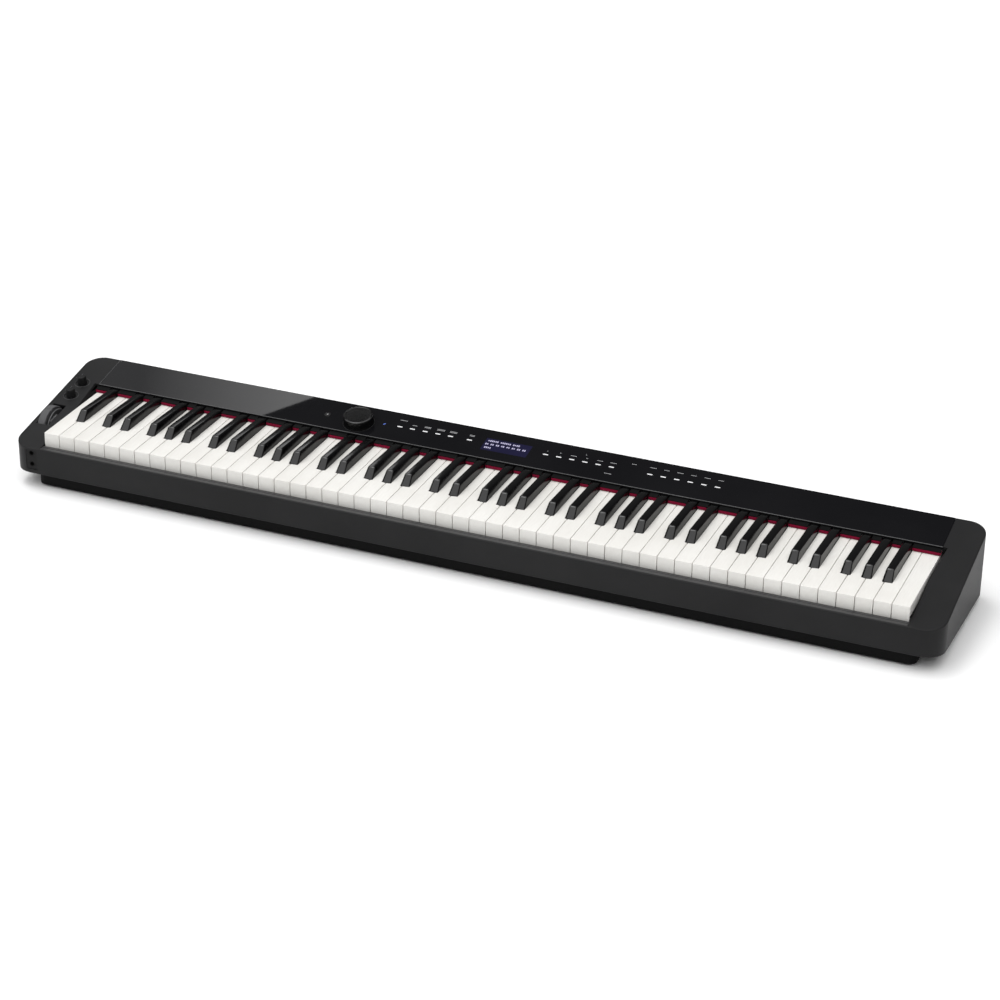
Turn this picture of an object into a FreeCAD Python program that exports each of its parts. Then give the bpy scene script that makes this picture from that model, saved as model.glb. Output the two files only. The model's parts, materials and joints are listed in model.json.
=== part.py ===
import FreeCAD, Part
import os
import re

# Slim 88-key digital piano. Millimetres, +Z up, +X to the player's right, +Y away from the player.
# The origin is at the centre of the footprint, on the surface that the rubber feet stand on.

doc = FreeCAD.newDocument("DigitalPiano")
sheet = doc.addObject("Spreadsheet::Sheet", "Sizes")

SIZES = {
    # keyboard
    "white_pitch": 23.65,        # distance between neighbouring white keys
    "key_gap": 1.0,              # gap between neighbouring white keys
    "key_length": 143.2,         # white key, front face to the felt strip
    "key_top": 81.2,             # height of the white key tops
    "key_shell_depth": 15.2,     # white key top down to its lower edge
    "key_front_depth": 24.0,     # white key top down to the end of its front face
    "key_wall": 1.6,             # wall of the hollow keys
    "key_skin": 2.2,             # thickness of the playing surface
    "head_length": 49.7,         # wide part of a white key
    "sharp_opening": 15.0,       # room between white key tails for a sharp
    "sharp_width": 13.7,         # sharp at its base
    "sharp_top_width": 10.4,     # sharp at its crest
    "sharp_rise": 13.3,          # crest above the white keys at the front
    "sharp_foot": 50.6,          # front of a sharp's base behind the white key fronts
    "sharp_front_run": 12.4,     # how far the sloping front of a sharp leans back
    "sharp_knee": 138.0,         # where the crest turns down, behind the white key fronts
    "sharp_knee_rise": 9.9,      # crest above the white keys at the knee
    "sharp_clearance": 0.9,      # sharp under the skirt's rail
    "cd_shift": 2.5,             # C and D sharps stand off the white key joint by this much
    "fa_shift": 3.45,            # F and A sharps stand off the white key joint by this much
    "lever_width": 12.0,         # hidden rear lever of a sharp
    "socket_room": 2.3,          # rear sockets to the chassis
    "beam_depth": 15.0,          # chassis beams, front to back
    "beam_rear": 7.0,            # rear beam behind the key pivot
    "pivot_drop": 9.4,           # key pivot under the white key tops
    "key_tail": 6.3,             # key end behind its pivot
    "pivot_blade": 3.0,          # thickness of the blade that the keys rock on
    "blade_gap": 1.1,            # blade to either side of a key's slot
    "tab_width": 6.0,            # tab under each key that drives its hammer
    "tab_length": 4.0,
    "tab_place": 63.3,           # tab behind the white key fronts
    "tab_clearance": 0.8,        # tab above the hammer
    "blade_rest": 0.3,           # rocking blades under what rocks on them
    # hammers
    "hammer_width": 10.0,
    "hammer_top": 49.0,
    "hammer_depth": 6.0,
    "hammer_front": 32.0,        # front arm ahead of the hammer pivot
    "hammer_rear": 55.0,         # rear arm behind the hammer pivot
    "hammer_pivot_place": 91.3,  # hammer pivot behind the white key fronts
    "hammer_blade": 2.0,
    "hammer_slot": 5.6,
    "weight_length": 20.0,
    "weight_depth": 11.0,
    # case
    "rail_depth": 14.7,          # front rail, front face to the white key fronts
    "rail_gap": 1.0,             # rail to the white key fronts
    "rail_step": 0.3,            # rail surface above the case's front edge
    "lip_setback": 9.3,          # felt line to the control panel's front lip
    "panel_depth": 64.8,         # control panel, front lip to the case's back
    "lip_rise": 9.35,            # lip above the white key tops
    "top_tilt": 10.02,           # slope of the whole top, in degrees
    "block_width": 45.0,         # end block beside the keyboard
    "well_gap": 1.1,             # end block to the first and last key
    "block_lean": 5.6,           # leaning inner face of an end block, sideways
    "block_lean_rise": 11.5,     # and upwards
    "front_wall_height": 38.5,
    "back_wall_height": 95.5,
    "corner_flat": 17.0,         # flat front of an end block beside its round corner
    "back_corner": 26.0,
    "edge_round": 1.6,
    "case_wall": 3.0,
    "past": 1.0,                 # reach of a cut past the face that it opens
    "joint_gap": 0.4,            # between case pieces that fit in one another
    "floor_wall": 2.5,
    "floor_recess": 1.5,         # tray rim above the case's lower edge
    "belly_inset": 33.0,         # belly in from the case ends
    "belly_setback": 10.0,       # belly in from the case front and back
    "belly_corner": 12.0,
    "foot_height": 3.2,
    "foot_radius": 11.0,
    "foot_inset": 101.0,         # feet in from the case ends
    "foot_setback": 36.0,        # feet in from the case front and back
    # panel
    "panel_thickness": 2.0,
    "panel_gap": 0.5,            # panel to the end blocks
    "panel_back_gap": 0.6,
    "lip_round": 0.9,
    "skirt_rail": 1.2,
    "felt_thickness": 4.5,
    "felt_width": 8.0,
    "felt_clearance": 0.3,       # felt above the white keys
    "display_width": 67.0,
    "display_height": 27.4,
    "display_place": 32.5,       # display centre behind the lip
    "window_depth": 1.4,
    "volume_x": -218.2,
    "volume_place": 25.9,
    "volume_radius": 21.3,
    "volume_height": 13.0,
    "power_x": -268.0,
    "power_place": 30.0,
    "power_radius": 4.75,
    "power_travel": 1.0,
    # left end block
    "knob_wall": 7.4,            # end block's top between its leaning face and a knob's recess
    "knob_rear_place": 4.4,      # in front of the lip
    "knob_front_place": 37.1,
    "knob_radius": 7.0,
    "knob_top_radius": 6.3,
    "knob_height": 12.0,
    "recess_radius": 11.0,
    "recess_depth": 1.2,
    "shaft_radius": 3.0,
    "shaft_clearance": 0.05,     # running fit of a shaft in its bearing
    "shaft_hole_gap": 0.5,
    "wheel_inset": 13.5,         # wheel centre in from the case end
    "wheel_place": 87.8,         # wheel centre in front of the lip
    "wheel_radius": 30.0,
    "wheel_width": 11.0,
    "wheel_rise": 8.5,           # wheel above the top surface
    "wheel_bore": 2.05,
    "wheel_axle": 2.0,
    "slot_width": 20.5,
    "slot_end_gap": 4.1,         # wheel to the ends of its slot
    "slot_offset": 4.0,          # slot centre to the right of the wheel's
    # sockets
    "jack_place": 13.0,          # headphone sockets left of the key well
    "jack_drop": 8.0,            # upper headphone socket under the case's front edge
    "jack_pitch": 16.4,          # upper to lower headphone socket
    "jack_plate_drop": 17.4,     # headphone plate's centre under the case's front edge
    "jack_bore": 3.25,
    "jack_body": 11.0,
    "jack_depth": 18.0,
    "jack_nose": 4.0,
    "jack_plate_width": 17.0,
    "jack_plate_height": 29.6,
    "plate_recess": 0.8,         # socket plates and socket mouths behind the case's face
    "jack_shoulder": 1.0,        # socket bodies behind the case's wall
    "jack_end": 2.0,             # closed end of a socket
    "nose_gap": 0.1,             # socket nose in its plate
    "rear_jack_pitch": 26.0,
    "rear_jack_x": 180.0,
    "rear_jack_height": 44.0,
    "rear_plate_width": 130.0,
    "rear_plate_height": 22.0,
    "inlet_place": 44.2,         # power inlet from the middle of the rear plate
    "inlet_radius": 4.5,
    "inlet_bore": 2.8,
    "inlet_depth": 14.0,
    "inlet_end": 3.0,
    "inlet_pin": 1.0,
    "inlet_pin_length": 9.0,
    # inside
    "chassis_drop": 52.0,        # chassis plate under the white key tops
    "chassis_plate": 2.5,
    "chassis_wall": 2.5,
    "board": 1.6,
    "speaker_inset": 231.0,      # speaker centres in from the case ends
    "speaker_width": 150.0,
    "speaker_depth": 76.0,
    "speaker_slot": 3.0,
    "speaker_slot_pitch": 7.5,
    "battery_x": 140.0,
    "battery_width": 112.0,
    "battery_depth": 62.0,
    "battery_height": 18.0,
    "cover_gap": 0.4,
    "screw_head": 3.4,
    "screw_shank": 1.5,
    "insert_radius": 3.6,
    "insert_bore": 2.1,
    "insert_height": 11.0,
    "insert_inset": 66.0,        # inserts in from the case ends
    "insert_spread": 50.0,       # half the front-to-back distance of the inserts
    "insert_wall": 3.6,          # boss round an insert
    "foot_taper": 1.0,
    "screw_shank_gap": 0.3,
    "screw_head_gap": 0.4,
    "screw_well": 1.2,           # depth of a screw's counterbore
    "screw_head_height": 2.0,
    "screw_head_rise": 0.8,      # head under the belly's face
    "screw_length": 12.5,
    "screw_fit": 0.02,
    "screw_inner": 30.0,         # screw pairs right and left of the middle
    "screw_middle_inset": 411.0,
    "screw_outer_inset": 91.0,
    "screw_setback": 24.0,
    "slot_share": 0.8,           # speaker slots against the speaker's width
    "speaker_rim": 7.0,
    "speaker_flange": 2.5,
    "speaker_lift": 0.2,
    "basket_inset": 4.0,
    "basket_height": 13.0,
    "basket_neck": 29.0,
    "basket_neck_depth": 27.0,
    "basket_wall": 3.0,
    "cone_radius": 24.0,
    "cone_neck": 9.0,
    "cone_height": 8.0,
    "cone_lift": 3.0,
    "cone_wall": 1.2,
    "magnet_radius": 24.0,
    "magnet_height": 8.0,
    "display_lip": 2.0,          # panel under the window's edge
    "display_gap": 0.1,
    "module_gap": 0.3,
    "module_depth": 6.0,
    "volume_gap": 0.5,
    "volume_taper": 0.6,
    "shaft_length": 8.0,
    "shaft_end": 0.5,            # room past a shaft's end in its bearing
    "encoder_size": 16.0,
    "encoder_depth": 10.0,
    "power_gap": 0.2,
    "power_proud": 0.8,
    "power_under": 2.4,          # power button's cap under the panel's face
    "power_flange": 1.0,
    "power_flange_drop": 3.1,
    "switch_size": 8.0,
    "switch_top": 3.2,
    "panel_board_width": 840.0,
    "panel_board_front": 22.0,
    "panel_board_inset": 10.85,
    "panel_board_drop": 8.0,
    "skirt_edge": 0.4,           # skirt's lower edge behind the felt line
    "skirt_overlap": 0.1,
    "skirt_gap": 0.05,           # skirt under the panel
    "skirt_tail": 1.5,
    "knob_gap": 0.4,
    "pot_size": 12.0,
    "pot_depth": 11.0,
    "pot_gap": 0.3,
    "pot_end": 1.0,
    "wheel_groove": 4.0,
    "wheel_groove_depth": 1.2,
    "bracket_gap": 0.5,
    "bracket_wall": 2.0,
    "bracket_reach": 9.0,
    "bracket_drop": 2.5,
    "axle_end": 2.4,
    "chassis_gap": 3.0,          # chassis to the ends of the key well
    "beam_place": 5.0,           # front beam behind the white key fronts
    "beam_room": 14.0,           # front beam under the keys
    "rear_beam_room": 2.0,
    "blade_root": 3.0,
    "post_radius": 5.0,
    "stop_felt": 4.0,
    "rest_felt": 12.0,
    "rest_gap": 0.3,
    "sensor_front": 3.0,
    "sensor_depth": 19.0,
    "contact_depth": 9.0,
    "contact_height": 1.8,
    "main_board_x": 150.0,
    "main_board_width": 160.0,
    "main_board_depth": 120.0,
    "main_board_lift": 5.0,
    "chip_size": 18.0,
    "chip_height": 2.0,
    "chip_pitch": 50.0,
    "chip_front": 30.0,
    "chip_back": 25.0,
    "leg_radius": 3.5,
    "leg_inset": 6.0,
    "battery_wall": 1.6,
    "rib_pitch": 12.0,
    "rib_width": 2.0,
    "rib_length": 28.0,
    "rib_rise": 0.6,
}
WHITE_KEYS = 52
MIDDLE = WHITE_KEYS // 2

for row, (alias, value) in enumerate(SIZES.items(), start=1):
    sheet.set(f"A{row}", alias.replace("_", " "))
    sheet.set(f"B{row}", str(value))
    sheet.setAlias(f"B{row}", alias)
doc.recompute()

# Places worked out from the driving sizes, as formulas that the sub-parts are bound to.
WELL = f"({MIDDLE} * white_pitch + well_gap)"
HALF = f"({WELL} + block_width)"
DEPTH = "(rail_depth + key_length + lip_setback + panel_depth)"
FRONT = f"(-{DEPTH} / 2)"
BACK = f"({DEPTH} / 2)"
KEY_FRONT = f"({FRONT} + rail_depth)"
FELT_LINE = f"({KEY_FRONT} + key_length)"
LIP = f"({FELT_LINE} + lip_setback)"
LIP_TOP = "(key_top + lip_rise)"
FRONT_TOP = f"({LIP_TOP} - ({LIP} - {FRONT}) * tan(top_tilt))"
BACK_TOP = f"({LIP_TOP} + panel_depth * tan(top_tilt))"
FRONT_BOTTOM = f"({FRONT_TOP} - front_wall_height)"
BACK_BOTTOM = f"({BACK_TOP} - back_wall_height)"
RAIL_TOP = f"({FRONT_TOP} + rail_step)"
RAIL_BACK = f"({KEY_FRONT} - rail_gap)"
FRONT_CORNER = "(block_width - corner_flat)"
KNOB_X = f"({WELL} + block_lean + knob_wall + recess_radius)"
WHEEL_X = f"({HALF} - wheel_inset)"
WHEEL_DROP = "(wheel_radius - wheel_rise)"
SLOT_REACH = f"(sqrt(wheel_radius ^ 2 - {WHEEL_DROP} ^ 2) + slot_end_gap)"
JACK_X = f"({WELL} + jack_place)"
SPEAKER_X = f"({HALF} - speaker_inset)"
INSERT_X = f"({HALF} - insert_inset)"
PANEL_LENGTH = "(panel_depth / cos(top_tilt) - panel_back_gap - panel_thickness * tan(top_tilt))"
PIVOT_Y = f"({BACK} - jack_depth - socket_room - beam_rear)"
PIVOT_Z = "(key_top - pivot_drop)"
KEY_LOW = "(key_top - key_shell_depth)"
KEY_END = f"({PIVOT_Y} + key_tail)"
SLOT_HALF = "(pivot_blade / 2 + blade_gap)"
TAB_Y = f"({KEY_FRONT} + tab_place)"
TAB_LOW = "(hammer_top + tab_clearance)"
HAMMER_Y = f"({KEY_FRONT} + hammer_pivot_place)"
HAMMER_Z = "(hammer_top - hammer_depth / 2)"
CHASSIS = "(key_top - chassis_drop)"
CHASSIS_TOP = f"({CHASSIS} + chassis_plate)"
FLOOR = "(foot_height + floor_wall)"
PANEL_UNDER = "(panel_thickness / cos(top_tilt))"
FAR = "(1000)"               # past everything
NEAR = 0.01                  # closer than this is the same place
UPRIGHT = 0.9                # an edge this tall for its length is upright
SLOT_ROWS = range(-4, 5)     # speaker slots, counted from the middle one
RIBS = range(-2, 3)          # ribs on the battery cover
REAR_JACKS = (-1.5, -0.5, 0.5)   # sockets on the rear plate, in pitches from its middle
JACK_HIGH = f"({FRONT_TOP} - jack_drop)"
JACK_LOW = f"({JACK_HIGH} - jack_pitch)"
JACK_PLATE_Z = f"({FRONT_TOP} - jack_plate_drop)"
SHAFT_HOLE = "(shaft_radius + shaft_hole_gap)"
SHAFT_BEARING = "(shaft_radius + shaft_clearance)"
FELT_LOW = "(key_top + felt_clearance)"

TO_Z = FreeCAD.Rotation(FreeCAD.Vector(1, 1, 1), 120)
ALONG = {
    "X": FreeCAD.Rotation(FreeCAD.Vector(0, 1, 0), 90),
    "Y": FreeCAD.Rotation(FreeCAD.Vector(1, 0, 0), -90),
    "Z": FreeCAD.Rotation(),
}
SUBPARTS = []


def bind(item, prop, formula):
    """Bind one property to a formula of sheet aliases."""
    text = re.sub(r"[a-z]\w*", lambda m: f"Sizes.{m[0]}" if m[0] in SIZES else m[0], str(formula))
    item.setExpression(prop, text)


def place(item, x, y, z):
    bind(item, "Placement.Base.x", x)
    bind(item, "Placement.Base.y", y)
    bind(item, "Placement.Base.z", z)
    return item


def box(x, y, z):
    """A block between pairs of low and high places."""
    item = doc.addObject("Part::Box", "Block")
    bind(item, "Length", f"({x[1]}) - ({x[0]})")
    bind(item, "Width", f"({y[1]}) - ({y[0]})")
    bind(item, "Height", f"({z[1]}) - ({z[0]})")
    return place(item, x[0], y[0], z[0])


def wedge(name, near, far, span):
    """A block whose far side is another rectangle than its near side."""
    item = doc.addObject("Part::Wedge", name)
    sides = {
        "Xmin": near[0][0], "Xmax": near[0][1], "Zmin": near[1][0], "Zmax": near[1][1],
        "X2min": far[0][0], "X2max": far[0][1], "Z2min": far[1][0], "Z2max": far[1][1],
        "Ymin": span[0], "Ymax": span[1],
    }
    for prop, formula in sides.items():
        bind(item, prop, formula)
    return item


def slope(x, y, near_z, far_z):
    """A prism across X whose lower and upper faces slope from front to back."""
    return wedge("Slope", (x, near_z), (x, far_z), y)


def pyramid(low_x, low_y, high_x, high_y, z):
    """A block that changes its plan between its lower and upper faces."""
    item = wedge("Pyramid", (low_y, low_x), (high_y, high_x), z)
    item.Placement = FreeCAD.Placement(FreeCAD.Vector(), TO_Z)
    return item


def cylinder(x, y, z, radius, height, along="Z"):
    item = doc.addObject("Part::Cylinder", "Cylinder")
    item.Placement = FreeCAD.Placement(FreeCAD.Vector(), ALONG[along])
    bind(item, "Radius", radius)
    bind(item, "Height", height)
    return place(item, x, y, z)


def cone(x, y, z, low_radius, high_radius, height):
    item = doc.addObject("Part::Cone", "Cone")
    bind(item, "Radius1", low_radius)
    bind(item, "Radius2", high_radius)
    bind(item, "Height", height)
    return place(item, x, y, z)


def group(items):
    item = doc.addObject("Part::Compound", "Group")
    item.Links = items
    return item


def fuse(*items):
    item = doc.addObject("Part::MultiFuse", "Fusion")
    item.Shapes = list(items)
    item.Refine = True
    return item


def cut(base, *tools):
    item = doc.addObject("Part::Cut", "Cut")
    item.Base = base
    item.Tool = tools[0] if len(tools) == 1 else group(list(tools))
    return item


def common(base, tool):
    item = doc.addObject("Part::Common", "Common")
    item.Base = base
    item.Tool = tool
    return item


def on_top(*items):
    """Tilt items built on the flat: their y = 0 goes to the lip's line and z = 0 to the top surface."""
    item = group(list(items))
    item.Placement = FreeCAD.Placement(FreeCAD.Vector(), FreeCAD.Rotation(FreeCAD.Vector(1, 0, 0), 1))
    bind(item, "Placement.Rotation.Angle", "top_tilt")
    return place(item, "0", LIP, LIP_TOP)


def subpart(name, item):
    item.Label = name
    SUBPARTS.append(item)
    return item


def plane(y, drop="0"):
    """Height of the sloping top at a place from front to back."""
    return f"({LIP_TOP} + ({y} - {LIP}) * tan(top_tilt) - {drop})"


def lower_edge(y, lift="0"):
    """Height of the case's lower edge at a place from front to back."""
    share = f"({y} - {FRONT}) / {DEPTH}"
    return f"({FRONT_BOTTOM} + ({BACK_BOTTOM} - {FRONT_BOTTOM}) * {share} + {lift})"


def rounded_plan(half, front, back, front_radius, back_radius, z):
    """An upright prism with rounded corners."""
    front_bar = box((f"-{half} + {front_radius}", f"{half} - {front_radius}"),
                    (front, f"{front} + {front_radius}"), z)
    back_bar = box((f"-{half} + {back_radius}", f"{half} - {back_radius}"),
                   (f"{back} - {back_radius}", back), z)
    middle = box((f"-{half}", half), (f"{front} + {front_radius}", f"{back} - {back_radius}"), z)
    corners = []
    for side in (-1, 1):
        corners.append(cylinder(f"{side} * ({half} - {front_radius})", f"{front} + {front_radius}",
                                z[0], front_radius, f"({z[1]}) - ({z[0]})"))
        corners.append(cylinder(f"{side} * ({half} - {back_radius})", f"{back} - {back_radius}",
                                z[0], back_radius, f"({z[1]}) - ({z[0]})"))
    return fuse(front_bar, back_bar, middle, *corners)


def case_solid(inset, low_lift, top_drop):
    """The case's outer form, or the same form drawn in by an inset."""
    half = f"({HALF} - {inset})"
    front = f"({FRONT} + {inset})"
    back = f"({BACK} - {inset})"
    plan = rounded_plan(half, front, back, f"({FRONT_CORNER} - {inset})", f"(back_corner - {inset})",
                        (f"-{FAR}", FAR))
    heights = slope((f"-{half}", half), (front, back),
                    (lower_edge(front, low_lift), plane(front, top_drop)),
                    (lower_edge(back, low_lift), plane(back, top_drop)))
    return common(plan, heights)


def round_edges(item, radius, wanted):
    """Fillet the edges of an item that a test picks."""
    doc.recompute()
    item_edges = [n for n, edge in enumerate(item.Shape.Edges, start=1) if wanted(edge)]
    rounded = doc.addObject("Part::Fillet", "Rounded")
    rounded.Base = item
    rounded.Edges = [(n, radius, radius) for n in item_edges]
    return rounded


# ---------------------------------------------------------------- keys

# Each white key: its name, its place in the octave, and the sharp on its left and on its right.
WHITES = [
    ("c", 0, None, "c"), ("d", 1, "c", "d"), ("e", 2, "d", None),
    ("f", 3, None, "f"), ("g", 4, "f", "g"), ("a", 5, "g", "a"), ("b", 6, "a", None),
]
# Each sharp: the white key joint it stands on and how far it is moved off that joint.
SHARPS = {
    "c": (1, "-cd_shift"), "d": (2, "cd_shift"), "f": (4, "-fa_shift"), "g": (5, "0"), "a": (6, "fa_shift"),
}
LETTERS_PER_OCTAVE = 7
FIRST_C = 2          # white keys below the lowest C
OCTAVES = 7          # whole octaves from the lowest C
BELOW = -1           # the part octave below them


def joint_x(joint, octave):
    """Place of the joint on the left of a white key, counted from the octave's C."""
    return f"(white_pitch * {FIRST_C + joint + LETTERS_PER_OCTAVE * octave - MIDDLE})"


def sharp_x(name, octave):
    joint, shift = SHARPS[name]
    return f"({joint_x(joint, octave)} + {shift})"


def pivot_slot(x):
    """The slot in a key's end that sits over the pivot blade."""
    return box(x, (f"{PIVOT_Y} - {SLOT_HALF}", f"{PIVOT_Y} + {SLOT_HALF}"), ("0", PIVOT_Z))


def tab(centre):
    return box((f"{centre} - tab_width / 2", f"{centre} + tab_width / 2"),
               (f"{TAB_Y} - tab_length / 2", f"{TAB_Y} + tab_length / 2"), (TAB_LOW, "key_top - key_skin"))


def white_tail(letter, octave, left_sharp, right_sharp):
    """Sides of a white key's narrow part."""
    left = f"({joint_x(letter, octave)} + key_gap / 2)"
    right = f"({joint_x(letter + 1, octave)} - key_gap / 2)"
    if left_sharp:
        left = f"({sharp_x(left_sharp, octave)} + sharp_opening / 2)"
    if right_sharp:
        right = f"({sharp_x(right_sharp, octave)} - sharp_opening / 2)"
    return left, right


def white_key(letter, octave, left_sharp, right_sharp):
    head = (f"({joint_x(letter, octave)} + key_gap / 2)", f"({joint_x(letter + 1, octave)} - key_gap / 2)")
    tail = white_tail(letter, octave, left_sharp, right_sharp)
    neck = f"({KEY_FRONT} + head_length)"
    inner_head = (f"{head[0]} + key_wall", f"{head[1]} - key_wall")
    inner_tail = (f"{tail[0]} + key_wall", f"{tail[1]} - key_wall")
    shell = ("key_top", "key_top - key_skin")
    block = fuse(
        box(head, (KEY_FRONT, neck), (KEY_LOW, shell[0])),
        box(tail, (KEY_FRONT, KEY_END), (KEY_LOW, shell[0])),
        box(head, (KEY_FRONT, f"{KEY_FRONT} + key_wall"), ("key_top - key_front_depth", shell[0])),
    )
    hollow = fuse(
        box(inner_head, (f"{KEY_FRONT} + key_wall", f"{neck} - key_wall"), ("0", shell[1])),
        box(inner_tail, (f"{KEY_FRONT} + key_wall", f"{PIVOT_Y} - key_tail"), ("0", shell[1])),
    )
    open_key = cut(block, hollow, pivot_slot(tail))
    return fuse(open_key, tab(middle_of(tail)))


def crest(distance):
    return f"({KEY_FRONT} + {distance})"


def sharp_key(name, octave):
    centre = sharp_x(name, octave)
    base = (f"{centre} - sharp_width / 2", f"{centre} + sharp_width / 2")
    top = (f"{centre} - sharp_top_width / 2", f"{centre} + sharp_top_width / 2")
    lever = (f"{centre} - lever_width / 2", f"{centre} + lever_width / 2")
    foot = crest("sharp_foot")
    crown = pyramid(base, (foot, f"{LIP} + felt_width"),
                    top, (f"{foot} + sharp_front_run", f"{LIP} + felt_width"),
                    ("key_top", "key_top + sharp_rise"))
    block = fuse(crown, box(base, (foot, LIP), (KEY_LOW, "key_top")),
                 box(lever, (foot, KEY_END), (KEY_LOW, "key_top")))
    hollow = box((f"{lever[0]} + key_wall", f"{lever[1]} - key_wall"),
                 (f"{foot} + key_wall", f"{PIVOT_Y} - key_tail"), ("0", "key_top - key_skin"))
    above = ("key_top + 2 * sharp_rise",) * 2
    first = slope(base, (foot, crest("sharp_knee")),
                  ("key_top + sharp_rise", above[0]), ("key_top + sharp_knee_rise", above[1]))
    under_rail = f"(key_top + lip_rise - {PANEL_UNDER} - skirt_rail - sharp_clearance)"
    last = slope(base, (crest("sharp_knee"), f"{LIP} + felt_width"),
                 ("key_top + sharp_knee_rise", above[0]),
                 (f"{under_rail} - felt_width * (key_top + sharp_knee_rise - {under_rail})"
                  f" / ({LIP} - {crest('sharp_knee')})", above[1]))
    return fuse(cut(block, hollow, pivot_slot(lever), first, last), tab(centre))


def hammer(centre):
    """A rocking lever with a weighted rear end, driven by the tab of the key above it."""
    side = (f"{centre} - hammer_width / 2", f"{centre} + hammer_width / 2")
    rear = f"({HAMMER_Y} + hammer_rear)"
    arm = box(side, (f"{HAMMER_Y} - hammer_front", rear), ("hammer_top - hammer_depth", "hammer_top"))
    weight = box(side, (f"{rear} - weight_length", rear), ("hammer_top - weight_depth", "hammer_top"))
    slot = box(side, (f"{HAMMER_Y} - hammer_slot / 2", f"{HAMMER_Y} + hammer_slot / 2"), ("0", HAMMER_Z))
    return cut(fuse(arm, weight), slot)


def octave_copies(item, octaves):
    """Copies of a key of the lowest octave, one octave apart."""
    copies = [item]
    for octave in octaves:
        copy = doc.addObject("App::Link", "Copy")
        copy.LinkedObject = item
        bind(copy, "Placement.Base.x", f"white_pitch * {LETTERS_PER_OCTAVE * octave}")
        copies.append(copy)
    return copies


def middle_of(sides):
    return f"(({sides[0]} + {sides[1]}) / 2)"


def make_keys():
    """The keys of one note name in all octaves share a node, and so do their hammers."""
    all_octaves = list(range(1, OCTAVES))
    lone = {"a": (BELOW, None, "a"), "c": (OCTAVES, None, None)}
    for name, letter, left_sharp, right_sharp in WHITES:
        octaves = [BELOW] + all_octaves if name == "b" else all_octaves
        first = white_tail(letter, 0, left_sharp, right_sharp)
        keys = octave_copies(white_key(letter, 0, left_sharp, right_sharp), octaves)
        hammers = octave_copies(hammer(middle_of(first)), octaves)
        if name in lone:
            octave, left, right = lone[name]
            keys.append(white_key(letter, octave, left, right))
            hammers.append(hammer(middle_of(white_tail(letter, octave, left, right))))
        subpart(f"keys_{name}", group(keys))
        subpart(f"hammers_{name}", group(hammers))
    for name in SHARPS:
        octaves = [BELOW] + all_octaves if name == "a" else all_octaves
        subpart(f"keys_{name}_sharp", group(octave_copies(sharp_key(name, 0), octaves)))
        subpart(f"hammers_{name}_sharp", group(octave_copies(hammer(sharp_x(name, 0)), octaves)))


def sharp_notches():
    """Room for every sharp through the felt and the skirt."""
    notches = []
    for name in SHARPS:
        for octave in range(BELOW if name == "a" else 0, OCTAVES):
            centre = sharp_x(name, octave)
            notches.append(box((f"{centre} - sharp_opening / 2", f"{centre} + sharp_opening / 2"),
                               (f"{FELT_LINE} - past", f"{LIP} + felt_width"), ("0", LIP_TOP)))
    return group(notches)


# ---------------------------------------------------------------- case

def make_case():
    rounded = round_edges(case_solid("0", "0", "0"), SIZES["edge_round"], is_outline)
    wall = "case_wall"
    inner = case_solid(wall, f"-{FAR}", wall)
    ends = []
    for low, high in ((f"-{FAR}", f"-{WELL} - {wall}"), (f"{WELL} + {wall}", FAR)):
        ends.append(common(inner, box((low, high), (f"-{FAR}", FAR), (f"-{FAR}", FAR))))
    well = (f"-{WELL}", WELL)
    rail_hollow = box(well, (f"{FRONT} + {wall}", f"{RAIL_BACK} - {wall}"),
                      (f"-{FAR}", f"{RAIL_TOP} - {wall}"))
    rail_foot = box(well, (f"{RAIL_BACK} - 2 * {wall}", RAIL_BACK), (f"-{FAR}", f"{RAIL_TOP} - 4 * {wall}"))
    window = box(well, (RAIL_BACK, f"{BACK} - {wall}"), (f"-{FAR}", FAR))
    rail_surface = box(well, (f"{FRONT} - past", f"{RAIL_BACK} + past"), (RAIL_TOP, FAR))
    panel_seat = on_top(box(well, ("0", "2 * panel_depth"), ("-panel_thickness - joint_gap / 2", FAR)))
    tray_top = "floor_recess + floor_wall + joint_gap"
    tray_room = common(inner, slope((f"-{FAR}", FAR), (FRONT, BACK), (f"-{FAR}", lower_edge(FRONT, tray_top)),
                                    (f"-{FAR}", lower_edge(BACK, tray_top))))
    case = cut(rounded, *ends, rail_hollow, rail_foot, window, rail_surface, panel_seat, tray_room,
               *block_leans(), *left_block_holes(), *socket_holes())
    subpart("upper_case", case)


def block_leans():
    """Cuts that make the end blocks' inner faces lean away from the keys."""
    leans = []
    low = f"({LIP_TOP} - block_lean_rise)"
    high = f"({LIP_TOP} + 2 * block_lean_rise)"
    reach = f"(({high} - {low}) * block_lean / block_lean_rise)"
    along = (f"{FRONT} - past", LIP)
    for side in (-1, 1):
        near = (f"{side} * {WELL} - past / 2", f"{side} * {WELL} + past / 2")
        far = (near[0], f"{near[1]} + {reach}") if side > 0 else (f"{near[0]} - {reach}", near[1])
        leans.append(pyramid(near, along, far, along, (low, high)))
    return leans


def is_outline(edge):
    """Edges round the case's upper and lower faces, and not its upright ones."""
    frame = edge.BoundBox
    return frame.ZLength < UPRIGHT * max(frame.XLength, frame.YLength)


def left_block_holes():
    holes = []
    for place_name in ("knob_rear_place", "knob_front_place"):
        recess = cylinder(f"-{KNOB_X}", f"-{place_name}", "-recess_depth", "recess_radius", FAR)
        shaft = cylinder(f"-{KNOB_X}", f"-{place_name}", "-shaft_length", SHAFT_HOLE, "shaft_length")
        holes.append(on_top(recess, shaft))
    middle = f"(-{WHEEL_X} + slot_offset)"
    slot = box((f"{middle} - slot_width / 2", f"{middle} + slot_width / 2"),
               (f"-wheel_place - {SLOT_REACH}", f"-wheel_place + {SLOT_REACH}"),
               ("-wheel_radius", "wheel_radius"))
    holes.append(on_top(slot))
    return holes


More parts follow.
